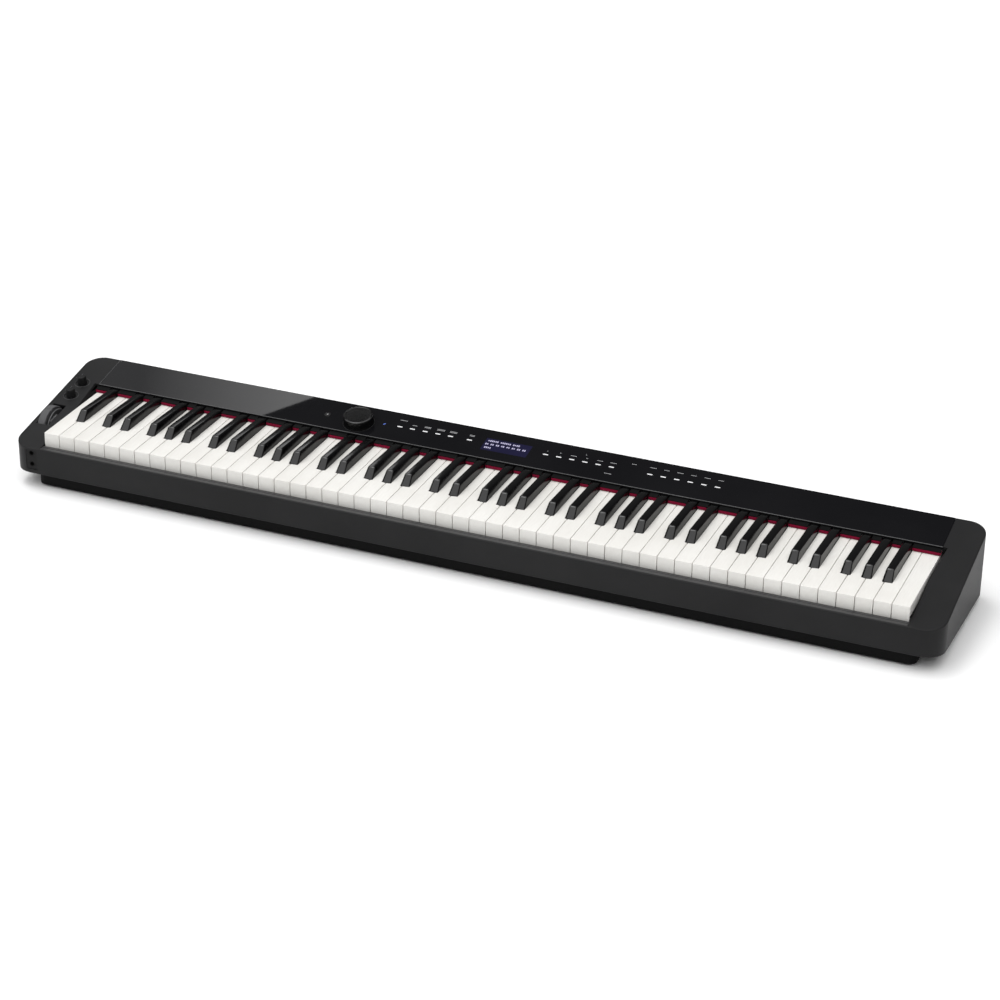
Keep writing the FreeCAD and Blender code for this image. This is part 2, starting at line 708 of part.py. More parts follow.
def around(middle, size, gap="0"):
    """Low and high places about a middle, with a gap left at both."""
    return f"({middle} - {size} / 2 - ({gap}))", f"({middle} + {size} / 2 + ({gap}))"


def socket_holes():
    front = box(around(f"-{JACK_X}", "jack_plate_width", "joint_gap / 2"),
                (f"{FRONT} - past", f"{FRONT} + case_wall + past"),
                around(JACK_PLATE_Z, "jack_plate_height", "joint_gap / 2"))
    rear = box(around("-rear_jack_x", "rear_plate_width", "joint_gap / 2"),
               (f"{BACK} - case_wall - past", f"{BACK} + past"),
               around("rear_jack_height", "rear_plate_height", "joint_gap / 2"))
    return [front, rear]


def make_tray():
    """The lower case: a sloping rim inside the walls, with a deeper belly that carries everything."""
    inset = "(case_wall + joint_gap)"
    half = f"({HALF} - {inset})"
    front = f"({FRONT} + {inset})"
    back = f"({BACK} - {inset})"
    rim_plan = rounded_plan(half, front, back, f"({FRONT_CORNER} - {inset})", f"(back_corner - {inset})",
                            ("0", FAR))
    rim_low, rim_high = "floor_recess", "floor_recess + floor_wall"
    rim_heights = slope((f"-{half}", half), (front, back),
                        (lower_edge(front, rim_low), lower_edge(front, rim_high)),
                        (lower_edge(back, rim_low), lower_edge(back, rim_high)))
    belly = (f"({HALF} - belly_inset)", f"({FRONT} + belly_setback)", f"({BACK} - belly_setback)")
    belly_plan = rounded_plan(*belly, "belly_corner", "belly_corner", ("foot_height", FAR))
    under_rim = slope((f"-{half}", half), (front, back),
                      ("0", lower_edge(front, rim_high)), ("0", lower_edge(back, rim_high)))
    hollow = rounded_plan(f"({belly[0]} - floor_wall)", f"({belly[1]} + floor_wall)",
                          f"({belly[2]} - floor_wall)", "(belly_corner - floor_wall)",
                          "(belly_corner - floor_wall)", (FLOOR, FAR))
    tray = cut(fuse(common(rim_plan, rim_heights), common(belly_plan, under_rim)), hollow)
    bosses = []
    cuts = [box(*cover_plan("cover_gap"), ("0", FAR))]
    for x, y in insert_places():
        bosses.append(cylinder(x, y, "foot_height", "insert_radius + insert_wall", "insert_height + past"))
        cuts.append(cylinder(x, y, "0", "insert_radius", "foot_height + insert_height"))
    for x, y in screw_places():
        cuts.append(cylinder(x, y, "0", "screw_shank + screw_shank_gap", FAR))
        cuts.append(cylinder(x, y, "0", "screw_head + screw_head_gap", "foot_height + screw_well"))
    subpart("lower_case", cut(fuse(tray, *bosses), *cuts, *speaker_slots()))
    feet = []
    for side in (-1, 1):
        for y in (f"({FRONT} + foot_setback)", f"({BACK} - foot_setback)"):
            feet.append(cone(f"{side} * ({HALF} - foot_inset)", y, "0", "foot_radius - foot_taper",
                             "foot_radius", "foot_height"))
    subpart("rubber_feet", group(feet))
    subpart("case_screws", group([screw(x, y) for x, y in screw_places()]))
    subpart("stand_inserts", group([insert(x, y) for x, y in insert_places()]))


def insert_places():
    return [(f"{x} * {INSERT_X}", f"{y} * insert_spread") for x in (-1, 1) for y in (-1, 1)]


def insert(x, y):
    """Threaded brass sleeve pressed into the tray from below."""
    sleeve = cylinder(x, y, "foot_height", "insert_radius", "insert_height")
    return cut(sleeve, cylinder(x, y, "0", "insert_bore", FAR))


def screw_places():
    spots = []
    for x in ("screw_inner", f"({HALF} - screw_middle_inset)", f"({HALF} - screw_outer_inset)"):
        for side in (-1, 1):
            for y in (f"({FRONT} + screw_setback)", f"({BACK} - screw_setback)"):
                spots.append((f"{side} * {x}", y))
    return spots


def screw(x, y):
    """Pan-head screw through the belly's floor into a post of the key chassis."""
    head = cylinder(x, y, "foot_height - screw_head_rise", "screw_head", "screw_head_height")
    return fuse(head, cylinder(x, y, "foot_height", "screw_shank", "screw_length"))


def speaker_slots():
    slots = []
    for side in (-1, 1):
        for step in SLOT_ROWS:
            slots.append(box(around(f"{side} * {SPEAKER_X}", "(speaker_width * slot_share)"),
                             around(f"{step} * speaker_slot_pitch", "speaker_slot"), ("0", FAR)))
    return slots


def cover_plan(gap):
    return around("-battery_x", "battery_width", gap), around("0", "battery_depth", gap)


# ---------------------------------------------------------------- control panel

def make_panel():
    side = f"({WELL} - panel_gap)"
    plate = box((f"-{side}", side), ("0", PANEL_LENGTH), ("-panel_thickness", "0"))
    rounded = round_edges(plate, SIZES["lip_round"], is_lip)
    window = box(*display_plan("0"), ("-window_depth", FAR))
    seat = box(*display_plan("-display_lip"), (f"-{FAR}", FAR))
    volume_hole = cylinder("volume_x", "volume_place", f"-{FAR}", SHAFT_HOLE, f"2 * {FAR}")
    power_hole = cylinder("power_x", "power_place", f"-{FAR}", "power_radius + power_gap", f"2 * {FAR}")
    subpart("control_panel", on_top(cut(rounded, window, seat, volume_hole, power_hole)))
    glass = box(*display_plan("-display_gap"), ("-window_depth + display_gap", "0"))
    subpart("display_window", on_top(glass))
    subpart("display_module", on_top(box(*display_plan("-display_lip - module_gap"),
                                         ("-module_depth", "-window_depth"))))
    cap = cone("volume_x", "volume_place", "volume_gap", "volume_radius", "volume_radius - volume_taper",
               "volume_height - volume_gap")
    shaft = cylinder("volume_x", "volume_place", "-shaft_length", "shaft_radius",
                     "shaft_length + 2 * volume_gap")
    subpart("volume_knob", on_top(fuse(cap, shaft)))
    body = box(around("volume_x", "encoder_size"), around("volume_place", "encoder_size"),
               ("-encoder_depth", "-panel_thickness"))
    bearing = cylinder("volume_x", "volume_place", "-shaft_length - shaft_end", SHAFT_BEARING, FAR)
    subpart("volume_encoder", on_top(cut(body, bearing)))
    make_power_button()
    low = "(-panel_board_drop - board)"
    board = box(around("0", "panel_board_width"),
                ("panel_board_front", f"{PANEL_LENGTH} - panel_board_inset"), (low, "-panel_board_drop"))
    room = box(around("volume_x", "encoder_size", "past"), around("volume_place", "encoder_size", "past"),
               (f"{low} - past", "0"))
    subpart("panel_board", on_top(cut(board, room)))


def make_power_button():
    spot = ("power_x", "power_place")
    cap = cylinder(*spot, "-power_under", "power_radius", "power_under + power_proud")
    flange = cylinder(*spot, "-power_flange_drop", "power_radius + power_flange", "power_flange")
    subpart("power_button", on_top(fuse(cap, flange)))
    switch = box(around("power_x", "switch_size"), around("power_place", "switch_size"),
                 ("-panel_board_drop", "-switch_top - power_travel"))
    subpart("power_switch", on_top(switch))


def is_lip(edge):
    """The upper long edge at the front of the panel's plate."""
    frame = edge.BoundBox
    return frame.XLength > SIZES["panel_depth"] and frame.YMax < NEAR and frame.ZMin > -NEAR


def display_plan(gap):
    return around("0", "display_width", gap), around("display_place", "display_height", gap)


def make_skirt():
    """A leaning blade between the sharps, and a rail that joins it under the panel's lip; felt under it."""
    side = f"({WELL} - panel_gap)"
    across = (f"-{side}", side)
    under = f"({LIP_TOP} - {PANEL_UNDER} - skirt_gap)"
    felt_top = f"({FELT_LOW} + felt_thickness)"
    notches = sharp_notches()
    blade = slope(across, (f"{FELT_LINE} + skirt_edge", f"{LIP} + skirt_tail"),
                  (felt_top, f"{felt_top} + past"), (f"{felt_top} + past", under))
    rail = box(across, (f"{LIP} + skirt_edge + skirt_overlap", f"{LIP} + felt_width"),
               (f"{under} - skirt_rail + skirt_overlap", under))
    subpart("panel_skirt", fuse(cut(blade, notches), rail))
    felt = box(across, (FELT_LINE, f"{FELT_LINE} + felt_width"), (FELT_LOW, felt_top))
    subpart("key_felt", cut(felt, notches))


# ---------------------------------------------------------------- left end block

def make_knobs():
    pots = []
    x = f"-{KNOB_X}"
    low = "(knob_gap - recess_depth)"
    for name in ("knob_rear", "knob_front"):
        y = f"(-{name}_place)"
        cap = cone(x, y, low, "knob_radius", "knob_top_radius", f"knob_height - {low}")
        shaft = cylinder(x, y, "-shaft_length", "shaft_radius", "shaft_length")
        subpart(name, on_top(fuse(cap, shaft)))
        body = box(around(x, "pot_size"), around(y, "pot_size"), ("-pot_depth", "-case_wall - pot_gap"))
        pots.append(cut(body, cylinder(x, y, "-shaft_length - pot_end", SHAFT_BEARING, FAR)))
    subpart("knob_pots", on_top(*pots))


def make_wheel():
    """A wheel across the block with a finger groove, on an axle between two cheeks."""
    x, y, z = f"(-{WHEEL_X})", "(-wheel_place)", f"(-{WHEEL_DROP})"
    disc = cylinder(f"{x} - wheel_width / 2", y, z, "wheel_radius", "wheel_width", "X")
    bore = cylinder(f"{x} - wheel_width", y, z, "wheel_bore", "2 * wheel_width", "X")
    groove = box(around(x, "2 * wheel_width"), around(y, "wheel_groove"),
                 ("wheel_rise - wheel_groove_depth", FAR))
    subpart("pitch_wheel", on_top(cut(disc, bore, groove)))
    axle = cylinder(f"{x} - wheel_width / 2 - axle_end", y, z, "wheel_axle",
                    "wheel_width + 2 * axle_end", "X")
    cheeks = []
    for side in (-1, 1):
        middle = f"({x} + {side} * (wheel_width / 2 + bracket_gap + bracket_wall / 2))"
        cheeks.append(box(around(middle, "bracket_wall"), around(y, "2 * bracket_reach"),
                          (f"{z} - bracket_reach", "-case_wall - bracket_drop")))
    subpart("wheel_bracket", on_top(fuse(axle, *cheeks)))


# ---------------------------------------------------------------- sockets

def socket(x, z, side):
    """A 6.3 mm jack socket whose mouth faces away from the case; side is -1 at the front, 1 at the back."""
    face = FRONT if side < 0 else BACK
    mouth = f"({face} - {side} * plate_recess)"
    shoulder = f"({face} - {side} * (case_wall + jack_shoulder))"
    tail = f"({face} - {side} * jack_depth)"
    closed = f"({tail} + {side} * jack_end)"
    outside = f"({face} + {side} * past)"
    body_span = (shoulder, tail) if side < 0 else (tail, shoulder)
    body = box(around(x, "jack_body"), body_span, around(z, "jack_body"))
    low, high = (mouth, shoulder) if side < 0 else (shoulder, mouth)
    nose = cylinder(x, low, z, "jack_nose", f"{high} - {low}", "Y")
    low, high = (outside, closed) if side < 0 else (closed, outside)
    bore = cylinder(x, low, z, "jack_bore", f"{high} - {low}", "Y")
    return cut(fuse(body, nose), bore)


def make_sockets():
    x = f"-{JACK_X}"
    plate = box(around(x, "jack_plate_width"), (f"{FRONT} + plate_recess", f"{FRONT} + case_wall"),
                around(JACK_PLATE_Z, "jack_plate_height"))
    nose_hole = "jack_nose + nose_gap"
    noses = [cylinder(x, f"-{FAR}", z, nose_hole, FAR, "Y") for z in (JACK_HIGH, JACK_LOW)]
    subpart("headphone_plate", cut(plate, *noses))
    subpart("headphone_jacks", group([socket(x, z, -1) for z in (JACK_HIGH, JACK_LOW)]))
    spots = [f"(-rear_jack_x + {step} * rear_jack_pitch)" for step in REAR_JACKS]
    inlet = "(-rear_jack_x + inlet_place)"
    rear_plate = box(around("-rear_jack_x", "rear_plate_width"),
                     (f"{BACK} - case_wall", f"{BACK} - plate_recess"),
                     around("rear_jack_height", "rear_plate_height"))
    holes = [cylinder(spot, "0", "rear_jack_height", nose_hole, FAR, "Y") for spot in spots]
    holes.append(cylinder(inlet, "0", "rear_jack_height", "inlet_radius + nose_gap", FAR, "Y"))
    subpart("rear_jack_plate", cut(rear_plate, *holes))
    subpart("rear_jacks", group([socket(spot, "rear_jack_height", 1) for spot in spots]))
    end = f"{BACK} - inlet_depth"
    shell = cut(cylinder(inlet, end, "rear_jack_height", "inlet_radius", "inlet_depth - plate_recess", "Y"),
                cylinder(inlet, f"{end} + inlet_end", "rear_jack_height", "inlet_bore", FAR, "Y"))
    pin = cylinder(inlet, f"{end} + inlet_end - past", "rear_jack_height", "inlet_pin",
                   "inlet_pin_length", "Y")
    subpart("power_inlet", fuse(shell, pin))


# ---------------------------------------------------------------- inside

def make_chassis():
    across = (f"-{WELL} + chassis_gap", f"{WELL} - chassis_gap")
    inside = (f"{across[0]} + chassis_wall", f"{across[1]} - chassis_wall")
    front_beam = (f"({KEY_FRONT} + beam_place)", f"({KEY_FRONT} + beam_place + beam_depth)")
    rear_beam = (f"({PIVOT_Y} + beam_rear - beam_depth)", f"({PIVOT_Y} + beam_rear)")
    beam_top = f"({KEY_LOW} - beam_room)"
    pieces = [box(across, (front_beam[0], rear_beam[1]), (CHASSIS, CHASSIS_TOP))]
    for beam, top in ((front_beam, beam_top), (rear_beam, f"({KEY_LOW} - rear_beam_room)")):
        hull = box(across, beam, (CHASSIS, top))
        room = box(inside, (f"{beam[0]} + chassis_wall", f"{beam[1]} - chassis_wall"),
                   (f"{CHASSIS} - past", f"{top} - chassis_wall"))
        pieces.append(cut(hull, room))
    pieces.append(box(across, around(PIVOT_Y, "pivot_blade"),
                      (f"{KEY_LOW} - blade_root", f"{PIVOT_Z} - blade_rest")))
    pieces.append(box(across, around(HAMMER_Y, "hammer_blade"), (CHASSIS, f"{HAMMER_Z} - blade_rest")))
    posts = [cylinder(x, y, FLOOR, "post_radius", f"{CHASSIS} + past - {FLOOR}") for x, y in screw_places()]
    bored = [cylinder(x, y, "0", "screw_shank + screw_fit", "foot_height + screw_length + floor_wall")
             for x, y in screw_places()]
    subpart("key_chassis", cut(fuse(*pieces, *posts), *bored))
    subpart("key_stop_felt", box(across, front_beam, (beam_top, f"{beam_top} + stop_felt")))
    weight_middle = f"{HAMMER_Y} + hammer_rear - weight_length / 2"
    subpart("hammer_rest_felt", box(across, around(weight_middle, "rest_felt"),
                                    (CHASSIS_TOP, "hammer_top - weight_depth - rest_gap")))
    arm_end = f"({HAMMER_Y} - hammer_front)"
    board_low = f"({arm_end} - sensor_front)"
    board_top = f"({CHASSIS_TOP} + board)"
    subpart("key_sensor_board", box(across, (board_low, f"{board_low} + sensor_depth"),
                                    (CHASSIS_TOP, board_top)))
    subpart("contact_rubber", box(across, (arm_end, f"{arm_end} + contact_depth"),
                                  (board_top, f"{board_top} + contact_height")))


def make_speakers():
    """Two flat drivers that fire down through the slots: a square basket, a paper cone and a magnet each."""
    frames, cones, magnets = [], [], []
    bottom = f"({FLOOR} + speaker_lift)"
    face = f"({bottom} + speaker_flange)"
    top = f"({bottom} + basket_height)"
    depth = "speaker_depth"
    for side in (-1, 1):
        x = f"({side} * {SPEAKER_X})"
        mouth = (around(x, "speaker_width", "-speaker_rim"), around("0", depth, "-speaker_rim"))
        flange = cut(box(around(x, "speaker_width"), around("0", depth), (bottom, face)),
                     box(*mouth, (f"{bottom} - past", f"{face} + past")))
        foot = (around(x, "speaker_width", "-basket_inset"), around("0", depth, "-basket_inset"))
        neck = (around(x, "2 * basket_neck"), around("0", "2 * basket_neck_depth"))
        throat = (around(x, "2 * basket_neck", "-basket_wall"),
                  around("0", "2 * basket_neck_depth", "-basket_wall"))
        basket = cut(pyramid(*foot, *neck, (f"{face} - nose_gap", top)),
                     pyramid(*mouth, *throat, (f"{face} - 2 * nose_gap", f"{top} + nose_gap")))
        frames.append(fuse(flange, basket))
        paper = cone(x, "0", f"{bottom} + cone_lift", "cone_radius", "cone_neck", "cone_height")
        inside = cone(x, "0", f"{bottom} + cone_lift - nose_gap", "cone_radius - cone_wall",
                      "cone_neck - cone_wall", "cone_height - cone_wall / 2")
        cones.append(cut(paper, inside))
        magnets.append(cylinder(x, "0", top, "magnet_radius", "magnet_height"))
    subpart("speaker_frames", group(frames))
    subpart("speaker_cones", group(cones))
    subpart("speaker_magnets", group(magnets))


def make_electronics():
    low = f"({FLOOR} + main_board_lift)"
    top = f"({low} + board)"
    board = box(around("main_board_x", "main_board_width"), around("0", "main_board_depth"), (low, top))
    pieces = []
    for step in (-1, 0, 1):
        for y in ("(-chip_front)", "chip_back"):
            x = f"main_board_x + {step} * chip_pitch"
            pieces.append(box(around(x, "chip_size"), around(y, "chip_size"),
                              (top, f"{top} + chip_height")))
    for x_side in (-1, 1):
        for y_side in (-1, 1):
            pieces.append(cylinder(f"main_board_x + {x_side} * (main_board_width / 2 - leg_inset)",
                                   f"{y_side} * (main_board_depth / 2 - leg_inset)", FLOOR, "leg_radius",
                                   "main_board_lift"))
    subpart("main_board", fuse(board, *pieces))
    hull = box(*cover_plan("(cover_gap + battery_wall)"), (FLOOR, f"{FLOOR} + battery_height"))
    room = box(*cover_plan("cover_gap"), ("0", f"{FLOOR} + battery_height - battery_wall"))
    subpart("battery_box", cut(hull, room))
    plate = box(*cover_plan("0"), ("foot_height", FLOOR))
    ribs = [box(around(f"-battery_x + {step} * rib_pitch", "rib_width"), around("0", "rib_length"),
                ("foot_height - rib_rise", "foot_height + floor_wall / 2")) for step in RIBS]
    subpart("battery_cover", fuse(plate, *ribs))


def check(items):
    """Stop if anything failed to build."""
    for item in doc.Objects:
        if "Invalid" in item.State or "Error" in item.State:
            raise RuntimeError(f"{item.Name} ({item.Label}) did not build: {item.State}")
    for item in items:
        if item.Shape.isNull() or not item.Shape.isValid() or not item.Shape.Solids:
            raise RuntimeError(f"{item.Label} has no valid solid")


make_keys()
make_case()
make_tray()
make_panel()
make_skirt()
make_knobs()
make_wheel()
make_sockets()
make_chassis()
make_speakers()
make_electronics()
doc.recompute()
check(SUBPARTS)
os.makedirs("parts", exist_ok=True)
for item in SUBPARTS:
    item.Shape.exportStep(f"parts/{item.Label}.step")
    print(item.Label, len(item.Shape.Solids), round(item.Shape.Volume / 1000, 1), "cm3")
print(len(SUBPARTS), "sub-parts")
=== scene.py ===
import json
import math

import bmesh
import bpy
from mathutils import Matrix, Vector, noise


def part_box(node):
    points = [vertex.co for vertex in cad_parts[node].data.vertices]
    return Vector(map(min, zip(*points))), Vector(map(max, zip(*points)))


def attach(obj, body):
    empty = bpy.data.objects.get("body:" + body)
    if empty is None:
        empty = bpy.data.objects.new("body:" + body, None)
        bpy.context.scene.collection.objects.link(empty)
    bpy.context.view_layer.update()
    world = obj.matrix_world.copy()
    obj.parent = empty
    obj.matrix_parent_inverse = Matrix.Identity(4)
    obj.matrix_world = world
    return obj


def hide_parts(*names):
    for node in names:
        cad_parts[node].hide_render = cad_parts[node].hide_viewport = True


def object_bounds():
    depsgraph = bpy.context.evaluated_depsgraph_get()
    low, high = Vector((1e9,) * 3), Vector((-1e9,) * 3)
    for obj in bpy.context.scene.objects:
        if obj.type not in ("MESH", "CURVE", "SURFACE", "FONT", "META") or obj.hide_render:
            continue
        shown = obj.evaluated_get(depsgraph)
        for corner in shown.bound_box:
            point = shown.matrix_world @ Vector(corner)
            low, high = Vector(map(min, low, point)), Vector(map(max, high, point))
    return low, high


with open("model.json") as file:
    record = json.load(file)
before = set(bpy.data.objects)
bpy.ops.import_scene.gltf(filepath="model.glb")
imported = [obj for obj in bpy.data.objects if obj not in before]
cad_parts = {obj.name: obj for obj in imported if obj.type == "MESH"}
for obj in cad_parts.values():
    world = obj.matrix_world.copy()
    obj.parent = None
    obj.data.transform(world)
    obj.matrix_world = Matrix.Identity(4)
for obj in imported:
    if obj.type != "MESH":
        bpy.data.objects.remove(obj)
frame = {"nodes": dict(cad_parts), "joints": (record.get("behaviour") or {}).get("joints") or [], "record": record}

# Looks of a slim 88-key digital piano. Metres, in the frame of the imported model.

CAD_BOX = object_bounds()

# ---------------------------------------------------------------- sizes and places

WHITE_KEYS = 52
KEY_GAP = 0.001
KEY_SKIRT = 0.024            # white key top down to the end of its front face
KEY_SHELL = 0.0152           # white key top down to its lower edge
KEY_WALL = 0.0016
HEAD_LENGTH = 0.0497
SHARP_ROOM = 0.015           # gap between two necks, in which a sharp stands
SHARP_WIDTH = 0.0137
SHARP_CREST_WIDTH = 0.0104
SHARP_RISE = 0.0133
SHARP_DIP = 0.0003           # the crest's front end below the full rise
SHARP_FOOT = 0.0506          # behind the white key fronts
SHARP_RUN = 0.0124           # length of the leaning front
SHARP_KNEE = 0.138
SHARP_KNEE_RISE = 0.0099
SHARP_END_RISE = 0.0048
SHARP_END = 0.008            # end of the crown behind the panel's lip
SHARP_ROUNDING = 0.0024
KEY_ROUNDING = 0.0006
LEVER_WIDTH = 0.012
SLOT_HALF = 0.0026           # half of the slot over the pivot blade
TAB_WIDTH = 0.006
TAB_LENGTH = 0.004
TAB_PLACE = 0.0633           # behind the white key fronts
CD_SHIFT = 0.0025            # the sharps of C and D from the joints under them, away from each other
FA_SHIFT = 0.00345           # the sharps of F and A, likewise
PANEL_JOINT_LIFT = 0.005     # the volume knob's joint above the panel
VOLUME_PLACE = 0.0259        # the volume knob's centre behind the lip

FIRST_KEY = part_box("keys_a")
LAST_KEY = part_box("keys_c")
PITCH = (LAST_KEY[1].x - FIRST_KEY[0].x + KEY_GAP) / WHITE_KEYS
KEY_FRONT = LAST_KEY[0].y
KEY_END = LAST_KEY[1].y
KEY_TOP = LAST_KEY[1].z
TAB_LOW = LAST_KEY[0].z
KEY_LOW = KEY_TOP - KEY_SHELL

JOINTS = {joint["name"]: joint for joint in frame["joints"]}
PIVOT = Vector(JOINTS["press_c"]["pos_m"])
PANEL_UP = Vector(JOINTS["volume_turn"]["axis"]).normalized()
PANEL_BACK = Vector((0, PANEL_UP.z, -PANEL_UP.y))
VOLUME = Vector(JOINTS["volume_turn"]["pos_m"]) - PANEL_UP * PANEL_JOINT_LIFT
LIP = VOLUME - PANEL_BACK * VOLUME_PLACE - Vector((VOLUME.x, 0, 0))
LIP_Y = LIP.y

# From places on the sloping top to the frame: to the right, behind the lip's line, above the surface.
TOP = Matrix((
    (1, 0, 0, 0),
    (0, PANEL_BACK.y, PANEL_UP.y, LIP.y),
    (0, PANEL_BACK.z, PANEL_UP.z, LIP.z),
    (0, 0, 0, 1),
))


def on_top(u, v, w=0.0):
    return TOP @ Vector((u, v, w))


# ---------------------------------------------------------------- materials

NOISE_BAND = (0.3, 0.7)      # where most values of a noise lie
DRIFT_SCALE = 9.0


def node(tree, kind, links=(), **settings):
    """Add a shader node, set its values and link its inputs."""
    made = tree.nodes.new(kind)
    for name, value in settings.items():
        if hasattr(made, name):
            setattr(made, name, value)
        else:
            made.inputs[name.replace("_", " ")].default_value = value
    for socket, source in links:
        tree.links.new(source, made.inputs[socket])
    return made


def ramp(tree, source, low, high, start=0.0, end=1.0):
    made = tree.nodes.new("ShaderNodeValToRGB")
    made.color_ramp.elements[0].position = start
    made.color_ramp.elements[1].position = end
    made.color_ramp.elements[0].color = (*low, 1)
    made.color_ramp.elements[1].color = (*high, 1)
    tree.links.new(source, made.inputs["Fac"])
    return made.outputs["Color"]


def spread(tree, source, low, high, start=0.0, end=1.0):
    """Map the values from start to end onto a range."""
    made = node(tree, "ShaderNodeMapRange", [("Value", source)])
    made.inputs["From Min"].default_value = start
    made.inputs["From Max"].default_value = end
    made.inputs["To Min"].default_value = low
    made.inputs["To Max"].default_value = high
    return made.outputs["Result"]


def blank(name):
    """A material with a Principled shader, and the object's own coordinates to feed textures."""
    made = bpy.data.materials.new(name)
    made.use_nodes = True
    tree = made.node_tree
    shader = tree.nodes["Principled BSDF"]
    place = tree.nodes.new("ShaderNodeTexCoord").outputs["Object"]
    return made, tree, shader, place


def stretched(tree, place, scale):
    """The coordinates scaled along each axis."""
    return node(tree, "ShaderNodeMapping", [("Vector", place)], Scale=scale).outputs["Vector"]


def bumped(tree, shader, height, strength, distance):
    bump = node(tree, "ShaderNodeBump", [("Height", height)], Strength=strength, Distance=distance)
    tree.links.new(bump.outputs["Normal"], shader.inputs["Normal"])


def moulded(name, low, high, rough, grain=2600.0, bump=0.25, specular=0.5):
    """Moulded plastic: a fine grain, a slow drift of tone, and a roughness that varies with handling."""
    made, tree, shader, place = blank(name)
    drift = node(tree, "ShaderNodeTexNoise", [("Vector", place)], Scale=DRIFT_SCALE, Detail=4.0)
    fine = node(tree, "ShaderNodeTexNoise", [("Vector", place)], Scale=grain, Detail=2.0)
    tree.links.new(ramp(tree, drift.outputs["Fac"], low, high, *NOISE_BAND), shader.inputs["Base Color"])
    tree.links.new(spread(tree, drift.outputs["Fac"], rough[0], rough[1]), shader.inputs["Roughness"])
    bumped(tree, shader, fine.outputs["Fac"], bump, distance=0.00006)
    shader.inputs["Specular IOR Level"].default_value = specular
    return made


def grained(name, low, high, rough, specular=0.5):
    """Key material with fine lines along its length, as on imitation ebony and ivory."""
    made, tree, shader, place = blank(name)
    lines = node(tree, "ShaderNodeTexNoise",
                 [("Vector", stretched(tree, place, (1.0, 0.035, 1.0)))], Scale=1500.0, Detail=3.0)
    drift = node(tree, "ShaderNodeTexNoise", [("Vector", place)], Scale=14.0, Detail=3.0)
    tone = node(tree, "ShaderNodeMath", [(0, lines.outputs["Fac"]), (1, drift.outputs["Fac"])],
                operation="MULTIPLY")
    tree.links.new(ramp(tree, tone.outputs["Value"], low, high, 0.12, 0.42), shader.inputs["Base Color"])
    tree.links.new(spread(tree, lines.outputs["Fac"], rough[0], rough[1]), shader.inputs["Roughness"])
    bumped(tree, shader, lines.outputs["Fac"], strength=0.12, distance=0.00005)
    shader.inputs["Specular IOR Level"].default_value = specular
    return made


def felted(name, low, high):
    """Pressed felt: tangled fibres, mottled colour and a soft sheen."""
    made, tree, shader, place = blank(name)
    fibres = node(tree, "ShaderNodeTexNoise", [("Vector", place)], Scale=1800.0, Detail=6.0,
                  Roughness=0.8, Distortion=1.5)
    clumps = node(tree, "ShaderNodeTexVoronoi", [("Vector", place)], Scale=420.0)
    mixed = node(tree, "ShaderNodeMath", [(0, fibres.outputs["Fac"]), (1, clumps.outputs["Distance"])],
                 operation="MULTIPLY")
    tree.links.new(ramp(tree, fibres.outputs["Fac"], low, high, *NOISE_BAND), shader.inputs["Base Color"])
    tree.links.new(spread(tree, mixed.outputs["Value"], 0.85, 1.0), shader.inputs["Roughness"])
    bumped(tree, shader, mixed.outputs["Value"], strength=0.8, distance=0.0004)
    shader.inputs["Sheen Weight"].default_value = 0.08
    shader.inputs["Specular IOR Level"].default_value = 0.15
    return made


def metal(name, low, high, rough, brush=(1.0, 40.0, 1.0)):
    """Metal with fine tool lines and slight staining."""
    made, tree, shader, place = blank(name)
    lines = node(tree, "ShaderNodeTexNoise", [("Vector", stretched(tree, place, brush))],
                 Scale=900.0, Detail=3.0)
    stain = node(tree, "ShaderNodeTexNoise", [("Vector", place)], Scale=60.0, Detail=4.0)
    tree.links.new(ramp(tree, stain.outputs["Fac"], low, high, *NOISE_BAND), shader.inputs["Base Color"])
    tree.links.new(spread(tree, lines.outputs["Fac"], rough[0], rough[1]), shader.inputs["Roughness"])
    bumped(tree, shader, lines.outputs["Fac"], strength=0.2, distance=0.00004)
    shader.inputs["Metallic"].default_value = 1.0
    return made


def circuit(name, low, high, track):
    """Lacquered circuit board with tracks and a woven base."""
    made, tree, shader, place = blank(name)
    weave = node(tree, "ShaderNodeTexChecker", [("Vector", place)], Scale=1600.0)
    paths = node(tree, "ShaderNodeTexBrick", [("Vector", place)], Scale=160.0)
    paths.inputs["Mortar Size"].default_value = 0.035
    body = ramp(tree, weave.outputs["Fac"], low, high)
    mask = ramp(tree, paths.outputs["Fac"], (0, 0, 0), (1, 1, 1))
    mixed = node(tree, "ShaderNodeMixRGB", [("Fac", mask), ("Color1", body)], Color2=(*track, 1))
    tree.links.new(mixed.outputs["Color"], shader.inputs["Base Color"])
    tree.links.new(spread(tree, weave.outputs["Fac"], 0.3, 0.4), shader.inputs["Roughness"])
    bumped(tree, shader, paths.outputs["Fac"], strength=0.3, distance=0.00005)
    return made


def printed(name, low, high, glow=0.0):
    """Printed or lit marks, slightly uneven at their edges."""
    made, tree, shader, place = blank(name)
    dots = node(tree, "ShaderNodeTexNoise", [("Vector", place)], Scale=2400.0, Detail=2.0)
    tone = ramp(tree, dots.outputs["Fac"], low, high, *NOISE_BAND)
    tree.links.new(tone, shader.inputs["Base Color"])
    tree.links.new(spread(tree, dots.outputs["Fac"], 0.35, 0.55), shader.inputs["Roughness"])
    if glow:
        tree.links.new(tone, shader.inputs["Emission Color"])
        shader.inputs["Emission Strength"].default_value = glow
    return made


